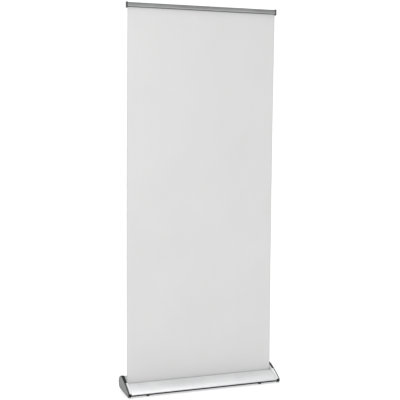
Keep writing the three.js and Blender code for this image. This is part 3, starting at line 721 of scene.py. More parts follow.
def lofted(name, rings):
    """A solid through rings of (x, outline): each ring is extruded from the last and moved into shape."""
    first_x, points = rings[0]
    piece = draw_outline(points)
    bpy.ops.mesh.select_all(action="SELECT")
    bpy.ops.mesh.edge_face_add()
    bpy.ops.transform.translate(value=(first_x, 0, 0))
    for (x, before), (next_x, after) in zip(rings, rings[1:]):
        bpy.ops.mesh.extrude_region_move(TRANSFORM_OT_translate={"value": (next_x - x, 0, 0)})
        bpy.ops.object.mode_set(mode="OBJECT")
        for vertex in piece.data.vertices:
            if vertex.select:
                here = Vector((vertex.co.y, vertex.co.z))
                apart = [(Vector(point) - here).length for point in before]
                nearest = apart.index(min(apart))
                vertex.co.y, vertex.co.z = after[nearest]
        bpy.ops.object.mode_set(mode="EDIT")
    bpy.ops.mesh.select_all(action="SELECT")
    bpy.ops.mesh.normals_make_consistent(inside=False)
    bpy.ops.object.mode_set(mode="OBJECT")
    return place_in_mesh(piece, name)


def make_end_plate(side):
    sign = -1 if side == "left" else 1
    low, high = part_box(f"end_plate_{side}")
    inner_x = sign * min(abs(low[0]), abs(high[0]))
    outer_x = sign * max(abs(low[0]), abs(high[0]))
    line_x = inner_x + sign * PARTING_LINE
    steps = [
        (inner_x, PLATE_BEVEL),
        (inner_x + sign * PLATE_BEVEL, 0),
        (line_x - sign * 0.3 * MM, 0),
        (line_x, LINE_DEPTH),
        (line_x + sign * 0.3 * MM, 0),
        (outer_x - sign * PLATE_BEVEL, 0),
        (outer_x - sign * 0.9 * MM, PLATE_BEVEL * 0.4),
        (outer_x, PLATE_BEVEL),
        (outer_x, PLATE_BEVEL + RIM_WIDTH),
        (outer_x - sign * PANEL_DEPTH, PLATE_BEVEL + RIM_WIDTH + 0.8 * MM),
        (outer_x - sign * PANEL_DEPTH * 1.1, PLATE_BEVEL + RIM_WIDTH + 3 * MM),
    ]
    rings = [(x, shifted_in(plate_outline, depth)) for x, depth in steps]
    return lofted(f"end_plate_{side}_moulding", rings)


def paint_end_plate(plate, side):
    """Four colours: grey outside, a painted highlight inside the parting line, a painted dark reflection
    on the front edge and painted black shade round the nose.
    """
    sign = -1 if side == "left" else 1
    inner_x = min(abs(vertex.co.x) for vertex in plate.data.vertices)
    for polygon in plate.data.polygons:
        centre, outward = polygon.center, polygon.normal.x * sign
        on_edge = outward < 0.9 and abs(centre.x) > inner_x + PARTING_LINE
        low_down = centre.z < plate_low[2] + NOSE_SHADE_HEIGHT
        at_nose = low_down and centre.y < plate_low[1] + NOSE_SHADE_DEPTH
        # Round the nose: painted black shade.
        if outward < 0.9 and at_nose:
            polygon.material_index = 3
        # Inside the parting line: painted highlight.
        elif abs(centre.x) < inner_x + PARTING_LINE - 0.2 * MM:
            polygon.material_index = 1
        # Upward faces of the front edge: painted dark reflection.
        elif on_edge and centre.y < slot_y and polygon.normal.z > 0:
            polygon.material_index = 2


def plate_material():
    """Metallic paint on a moulding: fine flake, a soft cloud of tone and rubbed edges."""
    material, tree, shader = new_material("silver_grey_moulding")
    where = object_coordinates(tree)
    flake = texture(tree, "Voronoi", where, {"Scale": 3000}, feature="F1")
    clouds = texture(tree, "Noise", where, {"Scale": 22, "Detail": 4, "Roughness": 0.6})
    tone = spread(tree, clouds.outputs["Fac"], 0.0, 1.0, 0.35, 0.65)
    base = blend_colours(tree, tone, (0.19, 0.193, 0.197, 1), (0.26, 0.264, 0.268, 1))
    glint = spread(tree, flake.outputs["Distance"], 0.3, 0.0, 0.0, 0.4)
    colour = blend_colours(tree, glint, base, (0.5, 0.5, 0.51, 1))
    rubbed = place_group(tree, edge_rub, where, width=0.9 * MM)
    share = spread(tree, rubbed.outputs["Mask"], 0.0, 0.35)
    colour = blend_colours(tree, share, colour, (0.62, 0.62, 0.63, 1))
    cover_surface(tree, shader, colour, spread(tree, tone, 0.42, 0.55), 0.5)
    shader.inputs["Specular IOR Level"].default_value = 0.3
    shader.inputs["Coat Weight"].default_value = 0.08
    shader.inputs["Coat Roughness"].default_value = 0.25
    raise_surface(tree, shader, flake.outputs["Distance"], 0.08, 0.05 * MM)
    return material


silver_grey = plate_material()
# Near-white painted highlight for the plates' inner bevel and wall.
light_inside = drawn_metal_material(
    "plate_inside_painted_highlight",
    (0.97, 0.97, 0.975, 1),
    (0.90, 0.905, 0.91, 1),
    (0.35, 0.45),
    0.1,
    bump=0.05,
)
# Dark painted reflection for the upper faces of the plates' front edge.
dark_edge = moulded_material(
    "plate_edge_painted_reflection",
    (0.07, 0.07, 0.073, 1),
    (0.045, 0.045, 0.047, 1),
    (0.4, 0.52),
    dust=0.02,
    rub=0.2,
    shine=0.3,
)
# Painted black shade for the nose, under the cover.
black_nose = moulded_material(
    "plate_nose_painted_shade",
    (0.012, 0.012, 0.013, 1),
    (0.006, 0.006, 0.007, 1),
    (0.5, 0.65),
    dust=0.02,
    rub=0.1,
    shine=0.2,
)
for side in ("left", "right"):
    plate = make_end_plate(side)
    give(plate, silver_grey, "base", "plate_plastic", f"end_plate_{side}")
    for material in (light_inside, dark_edge, black_nose):
        plate.data.materials.append(material)
    paint_end_plate(plate, side)
    soften(plate, 0.25 * MM, 2, 25)


# ------------------------------------------------------------------ end plate trims
# A black gloss trim is pressed into a groove round the top of each end plate, from behind the hump
# over its highest point and down the front slope to just below the slot. Its black is painted
# reflection, standing for the dark reflection along the plate's top edge.
TRIM_PROUD = 0.3 * MM
TRIM_DEPTH = 1.7 * MM
TRIM_LENGTH = 110 * MM
TRIM_BELOW_SLOT = 15 * MM
REAR_HALF = 50 * MM

trim_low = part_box("end_trim_right")[0]


def make_trim(side):
    """The band follows the plate's outline and wraps over its outer bevel."""
    sign = -1 if side == "left" else 1
    inner_x, outer_x = plate_low[0] + PLATE_BEVEL, plate_high[0]
    chosen = []
    for index, (y, z) in enumerate(plate_outline):
        on_slope = 0 < y - trim_low[1] < TRIM_LENGTH and z > slot_z - TRIM_BELOW_SLOT
        on_hump = y > REAR_HALF and z > trim_low[2]
        if on_slope or on_hump:
            chosen.append(index)
    rings = []
    for x, depth in (
        (inner_x - 0.1 * MM, -0.05 * MM),
        (inner_x + 0.4 * MM, -TRIM_PROUD),
        (outer_x - PLATE_BEVEL - 0.2 * MM, -TRIM_PROUD),
        (outer_x - PLATE_BEVEL * 0.62, -TRIM_PROUD * 0.2),
        (outer_x - PLATE_BEVEL * 0.24, PLATE_BEVEL * 0.38),
        (outer_x, PLATE_BEVEL * 0.75),
    ):
        band = shifted_in(plate_outline, depth)
        rings.append((sign * x, wall([band[index] for index in chosen], TRIM_DEPTH)))
    trim = lofted(f"end_trim_{side}_band", rings)
    smooth(trim, 40)
    return trim


# Black trim colour: painted reflection of the plate's dark top edge.
gloss_black = moulded_material(
    "black_gloss_trim_painted_reflection",
    (0.006, 0.006, 0.007, 1),
    (0.003, 0.003, 0.004, 1),
    (0.24, 0.34),
    dust=0.01,
    bump=0.03,
    coat=0.12,
    shine=0.15,
)
for side in ("left", "right"):
    give(make_trim(side), gloss_black, "base", "gloss_trim", f"end_trim_{side}")


# ------------------------------------------------------------------ roller and leader
# An aluminium tube with moulded plugs turns on two brackets inside the housing. A milky leader film
# is wound round it and joins the banner's foot, and a coil spring inside it winds the banner in.
def finished_copy(node, name, edge, segments=2, degrees=35):
    """A copy of a CAD node with its loose triangles joined and its edges rounded."""
    select_only(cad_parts[node])
    bpy.ops.object.duplicate()
    piece = bpy.context.object
    bpy.ops.object.mode_set(mode="EDIT")
    bpy.ops.mesh.select_all(action="SELECT")
    bpy.ops.mesh.remove_doubles(threshold=0.01 * MM)
    bpy.ops.mesh.normals_make_consistent(inside=False)
    bpy.ops.mesh.dissolve_limited(angle_limit=math.radians(2))
    bpy.ops.object.mode_set(mode="OBJECT")
    piece.parent = None
    place_in_mesh(piece, name)
    soften(piece, edge, segments, degrees)
    return piece


def dress(material, *nodes):
    """Gives CAD nodes that are carried over as they are their material."""
    for node in nodes:
        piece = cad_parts[node]
        piece.data.materials.clear()
        piece.data.materials.append(material)


def leader_material():
    """Milky leader film with fine winding lines and scuffs."""
    material, tree, shader = new_material("milky_leader_film")
    where = object_coordinates(tree)
    scuffs = texture(tree, "Noise", where, {"Scale": 60, "Detail": 5, "Roughness": 0.7})
    fine = texture(tree, "Noise", where, {"Scale": 1500, "Detail": 2})
    share = spread(tree, scuffs.outputs["Fac"], 0.0, 1.0, 0.35, 0.65)
    colour = blend_colours(tree, share, (0.66, 0.67, 0.68, 1), (0.78, 0.79, 0.79, 1))
    cover_surface(tree, shader, colour, spread(tree, share, 0.25, 0.45))
    raise_surface(tree, shader, fine.outputs["Fac"], 0.1, 0.05 * MM)
    return material


def zinc_material():
    """Zinc-plated steel: a small bluish spangle, soft stains and brighter rubbed edges."""
    material, tree, shader = new_material("zinc_plated_steel")
    where = object_coordinates(tree)
    spangle = texture(tree, "Voronoi", where, {"Scale": 600}, feature="F1")
    stains = texture(tree, "Noise", where, {"Scale": 70, "Detail": 5, "Roughness": 0.65})
    share = spread(tree, spangle.outputs["Distance"], 0.0, 1.0, 0.0, 0.7)
    colour = blend_colours(tree, share, (0.58, 0.60, 0.63, 1), (0.70, 0.71, 0.72, 1))
    dulled = spread(tree, stains.outputs["Fac"], 0.0, 0.35, 0.4, 0.7)
    colour = blend_colours(tree, dulled, colour, (0.42, 0.43, 0.43, 1))
    rubbed = place_group(tree, edge_rub, where, width=0.4 * MM)
    colour = blend_colours(tree, rubbed.outputs["Mask"], colour, (0.82, 0.82, 0.82, 1))
    rough = spread(tree, stains.outputs["Fac"], 0.25, 0.5, 0.35, 0.65)
    cover_surface(tree, shader, colour, rough, 1.0)
    raise_surface(tree, shader, stains.outputs["Fac"], 0.1, 0.1 * MM)
    return material


leader_film = leader_material()
zinc = zinc_material()
black_nylon = moulded_material(
    "black_nylon", (0.035, 0.035, 0.037, 1), (0.02, 0.02, 0.021, 1), (0.38, 0.55), pitting=1800, rub=0.5
)
roller_metal = drawn_metal_material("drawn_roller_tube", *SATIN_SILVER, (0.3, 0.46), 0.9)
dress(leader_film, "wound_leader", "leader_web")
dress(roller_metal, "roller_tube")
dress(black_nylon, "roller_plug_left", "roller_plug_right", "spring_hub")
dress(black_nylon, "axle_bracket_left", "axle_bracket_right")
dress(zinc, "spring_shaft", "torsion_spring", "guide_rod")


# ------------------------------------------------------------------ banner sheet
# The graphic is one sheet of matt off-white film with a grey stop-light back. It is held along the top
# in the rail and pulled from the roller below, so it hangs flat with a faint backward belly and curl.
BELLY = 10 * MM
CURL = 2.2 * MM
RIPPLE = 0.5 * MM
FINE_RIPPLE = 0.3 * MM
COLUMNS = 64
ROWS = 150
DARK_SIDE_WIDTH = 4 * MM

rail_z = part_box("rail_back")[0][2]


def make_banner():
    width = banner_high[0] - banner_low[0]
    height = banner_high[2] - banner_low[2]
    clear_selection()
    bpy.ops.mesh.primitive_grid_add(
        x_subdivisions=COLUMNS,
        y_subdivisions=ROWS,
        size=1,
        location=(0, slot_y, (banner_low[2] + banner_high[2]) / 2),
        rotation=(math.radians(90), 0, 0),
    )
    sheet = bpy.context.object
    sheet.scale = (width, height, 1)
    place_in_mesh(sheet, "banner_sheet_film")
    for vertex in sheet.data.vertices:
        up = min(max((vertex.co.z - slot_z) / (rail_z - slot_z), 0.0), 1.0)
        free = math.sin(math.pi * up)
        across = 2 * vertex.co.x / width
        belly = BELLY * free
        curl = -CURL * free**0.7 * across**4
        ripple = RIPPLE * free * math.sin(5.2 * across + 2.0 * up)
        fine_ripple = FINE_RIPPLE * free * math.sin(11 * across + 1)
        vertex.co.y += belly + curl + ripple + fine_ripple
    apply_modifier(sheet, "SOLIDIFY", thickness=banner_high[1] - banner_low[1], offset=0)
    smooth(sheet, 60)
    return sheet


def film_material(name, pale, deep, roughness, weave=0.10):
    """Coated film: a hair-fine cross weave, a faint cloudiness, and a soft satin skin."""
    material, tree, shader = new_material(name)
    where = object_coordinates(tree)
    clouds = texture(tree, "Noise", where, {"Scale": 3.5, "Detail": 3, "Roughness": 0.5})
    grain = texture(tree, "Noise", where, {"Scale": 1800, "Detail": 3, "Roughness": 0.6})
    weave_values = {"Scale": 420, "Distortion": 0.4}
    warp = texture(tree, "Wave", where, weave_values, bands_direction="X")
    weft = texture(tree, "Wave", where, weave_values, bands_direction="Z")
    tone = spread(tree, clouds.outputs["Fac"], 0.0, 1.0, 0.3, 0.7)
    base = blend_colours(tree, tone, deep, pale)
    side_distance = add_node(tree, "ShaderNodeSeparateXYZ")
    tree.links.new(where, side_distance.inputs[0])
    away = maths(tree, "ABSOLUTE", side_distance.outputs["X"])
    # The film is painted darker along both side edges.
    edge_x = banner_high[0]
    darker_sides = spread(tree, away, 0.0, 0.5, edge_x - DARK_SIDE_WIDTH, edge_x - DARK_SIDE_WIDTH * 0.7)
    base = blend_colours(tree, darker_sides, base, (0.55, 0.55, 0.55, 1))
    fine = spread(tree, grain.outputs["Fac"], 0.0, 0.06, 0.3, 0.7)
    rough = spread(tree, grain.outputs["Fac"], *roughness, 0.35, 0.65)
    cover_surface(tree, shader, blend_colours(tree, fine, base, deep), rough)
    threads = maths(tree, "ADD", warp.outputs["Fac"], weft.outputs["Fac"])
    height = maths(tree, "MULTIPLY_ADD", threads, 0.5, grain.outputs["Fac"])
    raise_surface(tree, shader, height, weave, 0.05 * MM)
    return material


banner = make_banner()
film_front = film_material(
    "matt_white_film", (0.84, 0.84, 0.838, 1), (0.815, 0.815, 0.812, 1), (0.48, 0.6)
)
film_back = film_material("grey_film_back", (0.60, 0.605, 0.61, 1), (0.55, 0.555, 0.56, 1), (0.55, 0.68))
give(banner, film_front, "base", "banner_film", "banner_sheet")
banner.data.materials.append(film_back)
for polygon in banner.data.polygons:
    if polygon.normal.y > 0.5:
        polygon.material_index = 1

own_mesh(banner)


# ------------------------------------------------------------------ feet
# Four feet carry the cassette. The rear pair are fixed rubber bumpers; the front pair are swivel pads
# on threaded studs, which screw up and down in nylon inserts to level the stand.
THREAD_PITCH = 1 * MM
THREAD_DEPTH = 0.35 * MM
TURN_STEPS = 48
STUD_BORE = 3.3 * MM


def turned(name, profile, place, steps=TURN_STEPS):
    """Spins a closed (radius, height) profile round an upright axis at a place."""
    piece = draw_outline(profile)
    bpy.ops.mesh.select_all(action="SELECT")
    bpy.ops.mesh.edge_face_add()
    bpy.ops.mesh.delete(type="ONLY_FACE")
    bpy.ops.mesh.select_all(action="SELECT")
    bpy.ops.mesh.spin(steps=steps, angle=2 * math.pi, center=(0, 0, 0), axis=(0, 0, 1))
    bpy.ops.mesh.select_all(action="SELECT")
    bpy.ops.mesh.remove_doubles(threshold=0.004 * MM)
    bpy.ops.mesh.dissolve_degenerate(threshold=0.002 * MM)
    bpy.ops.mesh.normals_make_consistent(inside=False)
    bpy.ops.object.mode_set(mode="OBJECT")
    bpy.ops.object.shade_smooth_by_angle(angle=math.radians(35))
    piece.location = (place[0], place[1], place[2])
    return place_in_mesh(piece, name)


def middle_of(node):
    low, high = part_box(node)
    return tuple((a + b) / 2 for a, b in zip(low, high))


def make_rear_foot(side):
    low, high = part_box(f"rear_foot_{side}")
    x, y, _ = middle_of(f"rear_foot_{side}")
    radius, top = (high[0] - low[0]) / 2, high[2]
    profile = [
        (0, 0.8 * MM),
        (radius - 3.4 * MM, 0.8 * MM),
        (radius - 2.8 * MM, 0),
        (radius - 1.2 * MM, 0),
        (radius - 0.3 * MM, 0.4 * MM),
        (radius, 1.3 * MM),
        (radius - 0.5 * MM, top * 0.45),
        (radius - 1.3 * MM, top * 0.5),
        (radius - 2 * MM, top - 0.6 * MM),
        (radius - 2.4 * MM, top),
        (0, top),
    ]
    return turned(f"rear_foot_{side}_bumper", profile, (x, y, 0))


def make_foot_pad(side):
    low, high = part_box(f"front_foot_pad_{side}")
    stud_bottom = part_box(f"front_foot_stud_{side}")[0][2]
    x, y, _ = middle_of(f"front_foot_pad_{side}")
    radius, top = (high[0] - low[0]) / 2, high[2]
    profile = [
        (0, 0.5 * MM),
        (radius - 3 * MM, 0.5 * MM),
        (radius - 2.6 * MM, 0),
        (radius - 1 * MM, 0),
        (radius - 0.25 * MM, 0.3 * MM),
        (radius, 1.1 * MM),
        (radius, 2.4 * MM),
        (radius - 0.5 * MM, 3.2 * MM),
        (radius - 0.9 * MM, top - 0.5 * MM),
        (radius - 1.5 * MM, top),
        (STUD_BORE + 0.4 * MM, top),
        (STUD_BORE, top - 0.4 * MM),
        (STUD_BORE, stud_bottom - 0.3 * MM),
        (0, stud_bottom - 0.3 * MM),
    ]
    return turned(f"front_foot_pad_{side}_rubber", profile, (x, y, 0))


def make_stud(side):
    """A threaded stud: one turn of the thread's outline is wound up the whole length."""
    low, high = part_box(f"front_foot_stud_{side}")
    x, y, _ = middle_of(f"front_foot_stud_{side}")
    radius = (high[0] - low[0]) / 2
    core = radius - THREAD_DEPTH
    turns = int((high[2] - low[2] - 0.6 * MM) / THREAD_PITCH) - 1
    shank = turned(
        f"front_foot_stud_{side}_thread",
        [
            (0, low[2]),
            (core - 0.4 * MM, low[2]),
            (core, low[2] + 0.5 * MM),
            (core, high[2] - 0.5 * MM),
            (core - 0.4 * MM, high[2]),
            (0, high[2]),
        ],
        (0, 0, 0),
        24,
    )
    root, crest, start = core - 0.15 * MM, core + THREAD_DEPTH, low[2] + 0.35 * MM
    ridge = draw_outline(
        [
            (root, start),
            (crest, start + THREAD_PITCH * 0.42),
            (crest, start + THREAD_PITCH * 0.50),
            (root, start + THREAD_PITCH * 0.92),
        ]
    )
    bpy.ops.mesh.select_all(action="SELECT")
    bpy.ops.mesh.edge_face_add()
    bpy.ops.object.mode_set(mode="OBJECT")
    apply_modifier(
        ridge,
        "SCREW",
        axis="Z",
        steps=20,
        render_steps=20,
        screw_offset=THREAD_PITCH,
        iterations=turns,
        use_smooth_shade=False,
    )
    select_only(shank)
    ridge.select_set(True)
    bpy.ops.object.join()
    bpy.ops.object.mode_set(mode="EDIT")
    bpy.ops.mesh.select_all(action="SELECT")
    bpy.ops.mesh.normals_make_consistent(inside=False)
    bpy.ops.object.mode_set(mode="OBJECT")
    smooth(shank, 30)
    shank.location = (x, y, 0)
    return place_in_mesh(shank, f"front_foot_stud_{side}_thread")


foot_rubber = moulded_material(
    "black_foot_rubber",
    (0.012, 0.012, 0.013, 1),
    (0.007, 0.007, 0.008, 1),
    (0.6, 0.85),
    dust=0.04,
    shine=0.2,
)
for side in ("left", "right"):
    give(make_rear_foot(side), foot_rubber, "base", "rubber", f"rear_foot_{side}")
    give(make_foot_pad(side), foot_rubber, f"foot_{side}", "rubber", f"front_foot_pad_{side}")
    give(make_stud(side), zinc, f"stud_{side}", "steel", f"front_foot_stud_{side}")
    insert = finished_copy(f"front_foot_insert_{side}", f"front_foot_insert_{side}_boss", 0.4 * MM)
    give(insert, black_nylon, "base", "black_plastic", f"front_foot_insert_{side}")


# ------------------------------------------------------------------ pole socket
# A black moulded socket stands in a hole in the hump and takes the pole's foot. Its oval flange is
# screwed down at both ends, and its neck has a rolled lip and upright ribs.
socket_x = socket_high[0]
socket_radius = (socket_high[1] - socket_low[1]) / 2
screw_low, screw_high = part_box("socket_screw_right")
socket_screw_x = (screw_low[0] + screw_high[0]) / 2
flange_z = housing_high[2] + 0.3 * MM
FLANGE = 3 * MM
SCREW_HOLE_RADIUS = 2.1 * MM
RIBS = 10

pole_low, pole_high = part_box("pole_lower_tube")
pole_radius = (pole_high[0] - pole_low[0]) / 2


def make_socket():
    neck = socket_radius - 2 * MM
    top, floor = socket_high[2], socket_low[2]
    well = pole_radius + 0.15 * MM
    well_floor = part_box("pole_foot_plug")[0][2] - 0.2 * MM
    profile = [
        (0, floor),
        (socket_radius - 0.8 * MM, floor),
        (socket_radius, floor + 0.8 * MM),
        (socket_radius, flange_z + FLANGE),
        (neck + 1.2 * MM, flange_z + FLANGE + 0.3 * MM),
        (neck + 0.3 * MM, flange_z + FLANGE + 1.4 * MM),
        (neck, flange_z + FLANGE + 3 * MM),
        (neck - 0.5 * MM, top - 5.5 * MM),
        (neck, top - 4.6 * MM),
        (neck, top - 1.4 * MM),
        (neck - 0.4 * MM, top - 0.4 * MM),
        (neck - 1.3 * MM, top),
        (well + 1 * MM, top),
        (well + 0.2 * MM, top - 0.7 * MM),
        (well, top - 1.8 * MM),
        (well, well_floor),
        (0, well_floor),
    ]
    socket = turned("pole_socket_moulding", profile, (0, pole_y, 0), 64)
    clear_selection()
    bpy.ops.mesh.primitive_cylinder_add(
        vertices=64, radius=1, depth=FLANGE, location=(0, pole_y, flange_z + FLANGE / 2)
    )
    flange = bpy.context.object
    flange.scale = (socket_x, socket_radius, 1)
    place_in_mesh(flange, "flange_blank")
    end_radius = socket_x - socket_radius + 3 * MM
    for vertex in flange.data.vertices:
        angle = math.atan2((vertex.co.y - pole_y) / socket_radius, vertex.co.x / socket_x)
        sideways = socket_x - end_radius
        vertex.co.x = math.copysign(sideways, math.cos(angle)) + end_radius * math.cos(angle)
        vertex.co.y = pole_y + end_radius * math.sin(angle)
    apply_modifier(socket, "BOOLEAN", operation="UNION", object=flange, solver="EXACT")
    bpy.data.objects.remove(flange)
    drill(socket, well, (0, pole_y, (top + well_floor) / 2 + 2 * MM), top - well_floor + 4 * MM)
    for sign in (-1, 1):
        drill(socket, SCREW_HOLE_RADIUS, (sign * socket_screw_x, pole_y, flange_z), 12 * MM)
    soften(socket, 0.4 * MM, 2, 40)
    return socket


def make_socket_ribs():
    """Thin upright ribs round the neck, above the flange."""
    neck = socket_radius - 2.3 * MM
    low, high = flange_z + FLANGE - 0.2 * MM, socket_high[2] - 6 * MM
    clear_selection()
    bpy.ops.mesh.primitive_cube_add(size=1, location=(neck + 0.4 * MM, 0, (low + high) / 2))
    rib = bpy.context.object
    rib.scale = (2 * MM, 1.2 * MM, high - low)
    place_in_mesh(rib, "socket_rib")
    for vertex in rib.data.vertices:
        if vertex.co.z > (low + high) / 2 and vertex.co.x > neck:
            vertex.co.x -= 1.2 * MM
    copies = [rib]
    for index in range(1, RIBS):
        select_only(rib)
        bpy.ops.object.duplicate()
        copy = bpy.context.object
        copy.data.transform(Matrix.Rotation(2 * math.pi * index / RIBS, 4, "Z"))
        copies.append(copy)
    clear_selection()
    for copy in copies:
        copy.select_set(True)
    bpy.context.view_layer.objects.active = rib
    bpy.ops.object.join()
    rib.location = (0, pole_y, 0)
    place_in_mesh(rib, "pole_socket_ribs")
    soften(rib, 0.3 * MM, 2)
    return rib


give(make_socket(), black_nylon, "base", "black_plastic", "pole_socket")
give(make_socket_ribs(), black_nylon, "base", "black_plastic")
foot_plug = finished_copy("pole_foot_plug", "pole_foot_plug_moulding", 0.3 * MM)
give(foot_plug, black_nylon, "base", "black_plastic", "pole_foot_plug")


# ------------------------------------------------------------------ small screws
# Every screw is a zinc-plated pan head with a cross recess. Each is built pointing up, at the size of
# its CAD box, and then laid into its place at the brackets, the pole socket or the rail hook.
HEAD_HEIGHT = 1.6 * MM


def screw_blank(head_radius, head_height, shank_radius, length):
    """A pan head screw pointing up: its head's underside is at z = 0 and its shank runs below."""
    profile = [
        (0, -length),
        (shank_radius * 0.6, -length),
        (shank_radius, -length + shank_radius * 0.6),
        (shank_radius, 0),
        (head_radius * 0.94, 0),
        (head_radius, head_height * 0.12),
        (head_radius, head_height * 0.45),
        (head_radius * 0.88, head_height * 0.8),
        (head_radius * 0.6, head_height * 0.97),
        (0, head_height),
    ]
    screw = turned("screw_blank", profile, (0, 0, 0), 32)
    for quarter in (0, math.pi / 2):
        clear_selection()
        bpy.ops.mesh.primitive_cube_add(size=1, location=(0, 0, head_height), rotation=(0, 0, quarter))
        blade = bpy.context.object
        blade.scale = (head_radius * 1.15, head_radius * 0.26, head_height * 1.1)
        apply_modifier(screw, "BOOLEAN", operation="DIFFERENCE", object=blade, solver="EXACT")
        bpy.data.objects.remove(blade)
    soften(screw, 0.12 * MM, 2, 35)
    return screw


def fit_screw(node, axis, head_end, body, turn):
    """A screw in the CAD screw's box, its head at one end along an axis (0, 1 or 2)."""
    low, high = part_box(node)
    across = (axis + 1) % 3
    head_radius = (high[across] - low[across]) / 2
    shank = high[axis] - low[axis] - HEAD_HEIGHT
    screw = screw_blank(head_radius, HEAD_HEIGHT, head_radius / 2, shank)
    middle = Vector(middle_of(node))
    seat = middle.copy()
    seat[axis] = (high[axis] - HEAD_HEIGHT) if head_end > 0 else (low[axis] + HEAD_HEIGHT)
    direction = Vector((0, 0, 0))
    direction[axis] = head_end
    upright = Vector((0, 0, 1)).rotation_difference(direction).to_matrix().to_4x4()
    screw.data.transform(Matrix.Rotation(math.radians(turn), 4, "Z"))
    screw.data.transform(Matrix.Translation(seat) @ upright)
    screw.name = f"{node}_pan_head"
    screw.data.name = screw.name
    give(screw, zinc, body, "steel", node)


for side, inward in (("left", 1), ("right", -1)):
    fit_screw(f"bracket_screw_{side}_front", 0, inward, "base", 25 + 10 * inward)
    fit_screw(f"bracket_screw_{side}_rear", 0, inward, "base", 70 + 15 * inward)
    fit_screw(f"socket_screw_{side}", 2, 1, "base", 40 - 25 * inward)
    fit_screw(f"hook_screw_{side}", 1, 1, "rail", 15 + 30 * inward)


# ------------------------------------------------------------------ telescopic pole
# Three thin aluminium tubes slide into one another behind the banner. Each is satin anodised, cut
# square with a deburred rim, and the two inner ones run on nylon plugs at their feet.
POLE_WALL = 1.2 * MM
RIM = 0.3 * MM


def make_tube(section):
    low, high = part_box(f"pole_{section}_tube")
    radius = (high[0] - low[0]) / 2
    bore = radius - POLE_WALL
    bottom, top = low[2], high[2]
    profile = [
        (bore + RIM, bottom),
        (radius - RIM, bottom),
        (radius, bottom + RIM),
        (radius, top - RIM),
        (radius - RIM, top),
        (bore + RIM, top),
        (bore, top - RIM),
        (bore, bottom + RIM),
    ]
    profile.append(profile[0])
    return turned(f"pole_{section}_tube_wall", profile, (0, pole_y, 0), 64)


def tube_material(name, pale, deep, wear):
    """Drawn tube: lines run up it, with faint bright rubs where the next section slides."""
    material, tree, shader = new_material(name)
    where = object_coordinates(tree, turn=(0, math.radians(90), 0))
    metal = place_group(
        tree, drawn_metal, where, pale=pale, deep=deep, roughness_low=0.26, roughness_high=0.44
    )
    plain = object_coordinates(tree, scale=(1, 1, 0.03))
    rubs = texture(tree, "Noise", plain, {"Scale": 260, "Detail": 4, "Roughness": 0.7})
    share = spread(tree, rubs.outputs["Fac"], 0.0, wear, 0.56, 0.7)
    colour = blend_colours(tree, share, metal.outputs["Color"], (0.82, 0.82, 0.83, 1))
    cover_surface(tree, shader, colour, metal.outputs["Roughness"], 0.92)
    raise_surface(tree, shader, metal.outputs["Height"], 0.2, 0.05 * MM)
    return material


outer_tube = tube_material("anodised_outer_tube", *SATIN_SILVER, 0.1)
sliding_tube = tube_material("anodised_sliding_tube", *SATIN_SILVER, 0.45)
give(make_tube("lower"), outer_tube, "base", "anodised_aluminium", "pole_lower_tube")
for section in ("middle", "upper"):
    body = f"pole_{section}"
    give(make_tube(section), sliding_tube, body, "anodised_aluminium", f"pole_{section}_tube")
    plug = finished_copy(f"pole_{section}_plug", f"pole_{section}_plug_moulding", 0.3 * MM)
    give(plug, black_nylon, body, "black_plastic", f"pole_{section}_plug")


# ------------------------------------------------------------------ lock collars
# Moulded twist collars sit on the top of the lower two tubes. Turning one clamps the tube above it.
# They have twelve finger flutes, a shoulder below and a stepped lip above.
FLUTES = 12
FLUTE_DEPTH = 1.1 * MM
FLUTE_STEPS = 8


def make_collar(word, outer_section, inner_section):
    low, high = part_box(f"lock_collar_{word}")
    reach = (high[0] - low[0]) / 2
    outer_low, outer_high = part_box(f"pole_{outer_section}_tube")
    inner_low, inner_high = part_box(f"pole_{inner_section}_tube")
    wide = (outer_high[0] - outer_low[0]) / 2 + 0.3 * MM
    narrow = (inner_high[0] - inner_low[0]) / 2 + 0.3 * MM
    step = outer_high[2] + 0.3 * MM
    bottom, top = low[2], high[2]
    profile = [
        (wide, bottom),
        (reach - 2.4 * MM, bottom),
        (reach - 1.6 * MM, bottom + 0.6 * MM),
        (reach - 1.4 * MM, bottom + 4 * MM),
        (reach - 0.3 * MM, bottom + 5 * MM),
        (reach, bottom + 6.2 * MM),
        (reach, top - 9 * MM),
        (reach - 0.3 * MM, top - 7.8 * MM),
        (reach - 1.4 * MM, top - 6.8 * MM),
        (reach - 1.6 * MM, top - 2.4 * MM),
        (reach - 2.2 * MM, top - 1.0 * MM),
        (reach - 3.4 * MM, top),
        (narrow + 0.4 * MM, top),
        (narrow, top - 0.4 * MM),
        (narrow, step),
        (wide, step),
    ]
    profile.append(profile[0])
    collar = turned(f"lock_collar_{word}_grip", profile, (0, 0, 0), FLUTES * FLUTE_STEPS)
    for vertex in collar.data.vertices:
        radius = math.hypot(vertex.co.x, vertex.co.y)
        if radius > reach - 0.1 * MM:
            angle = math.atan2(vertex.co.y, vertex.co.x)
            hollow = max(0.0, math.cos(FLUTES * angle)) ** 0.8
            share = (radius - FLUTE_DEPTH * hollow) / radius
            vertex.co.x *= share
            vertex.co.y *= share
    collar.location = (0, pole_y, 0)
    place_in_mesh(collar, f"lock_collar_{word}_grip")
    smooth(collar, 40)
    return collar


for word, outer_section, inner_section in (("lower", "lower", "middle"), ("upper", "middle", "upper")):
    collar = make_collar(word, outer_section, inner_section)
    give(collar, black_nylon, f"lock_{word}", "black_plastic", f"lock_collar_{word}")


# ------------------------------------------------------------------ pole head
# A nylon head is pressed into the top tube. Its arm reaches forward to an upright tongue, which goes
# up into the bracket on the back of the rail.
head = finished_copy("pole_head", "pole_head_moulding", 0.6 * MM, 3)
give(head, black_nylon, "pole_upper", "black_plastic", "pole_head")


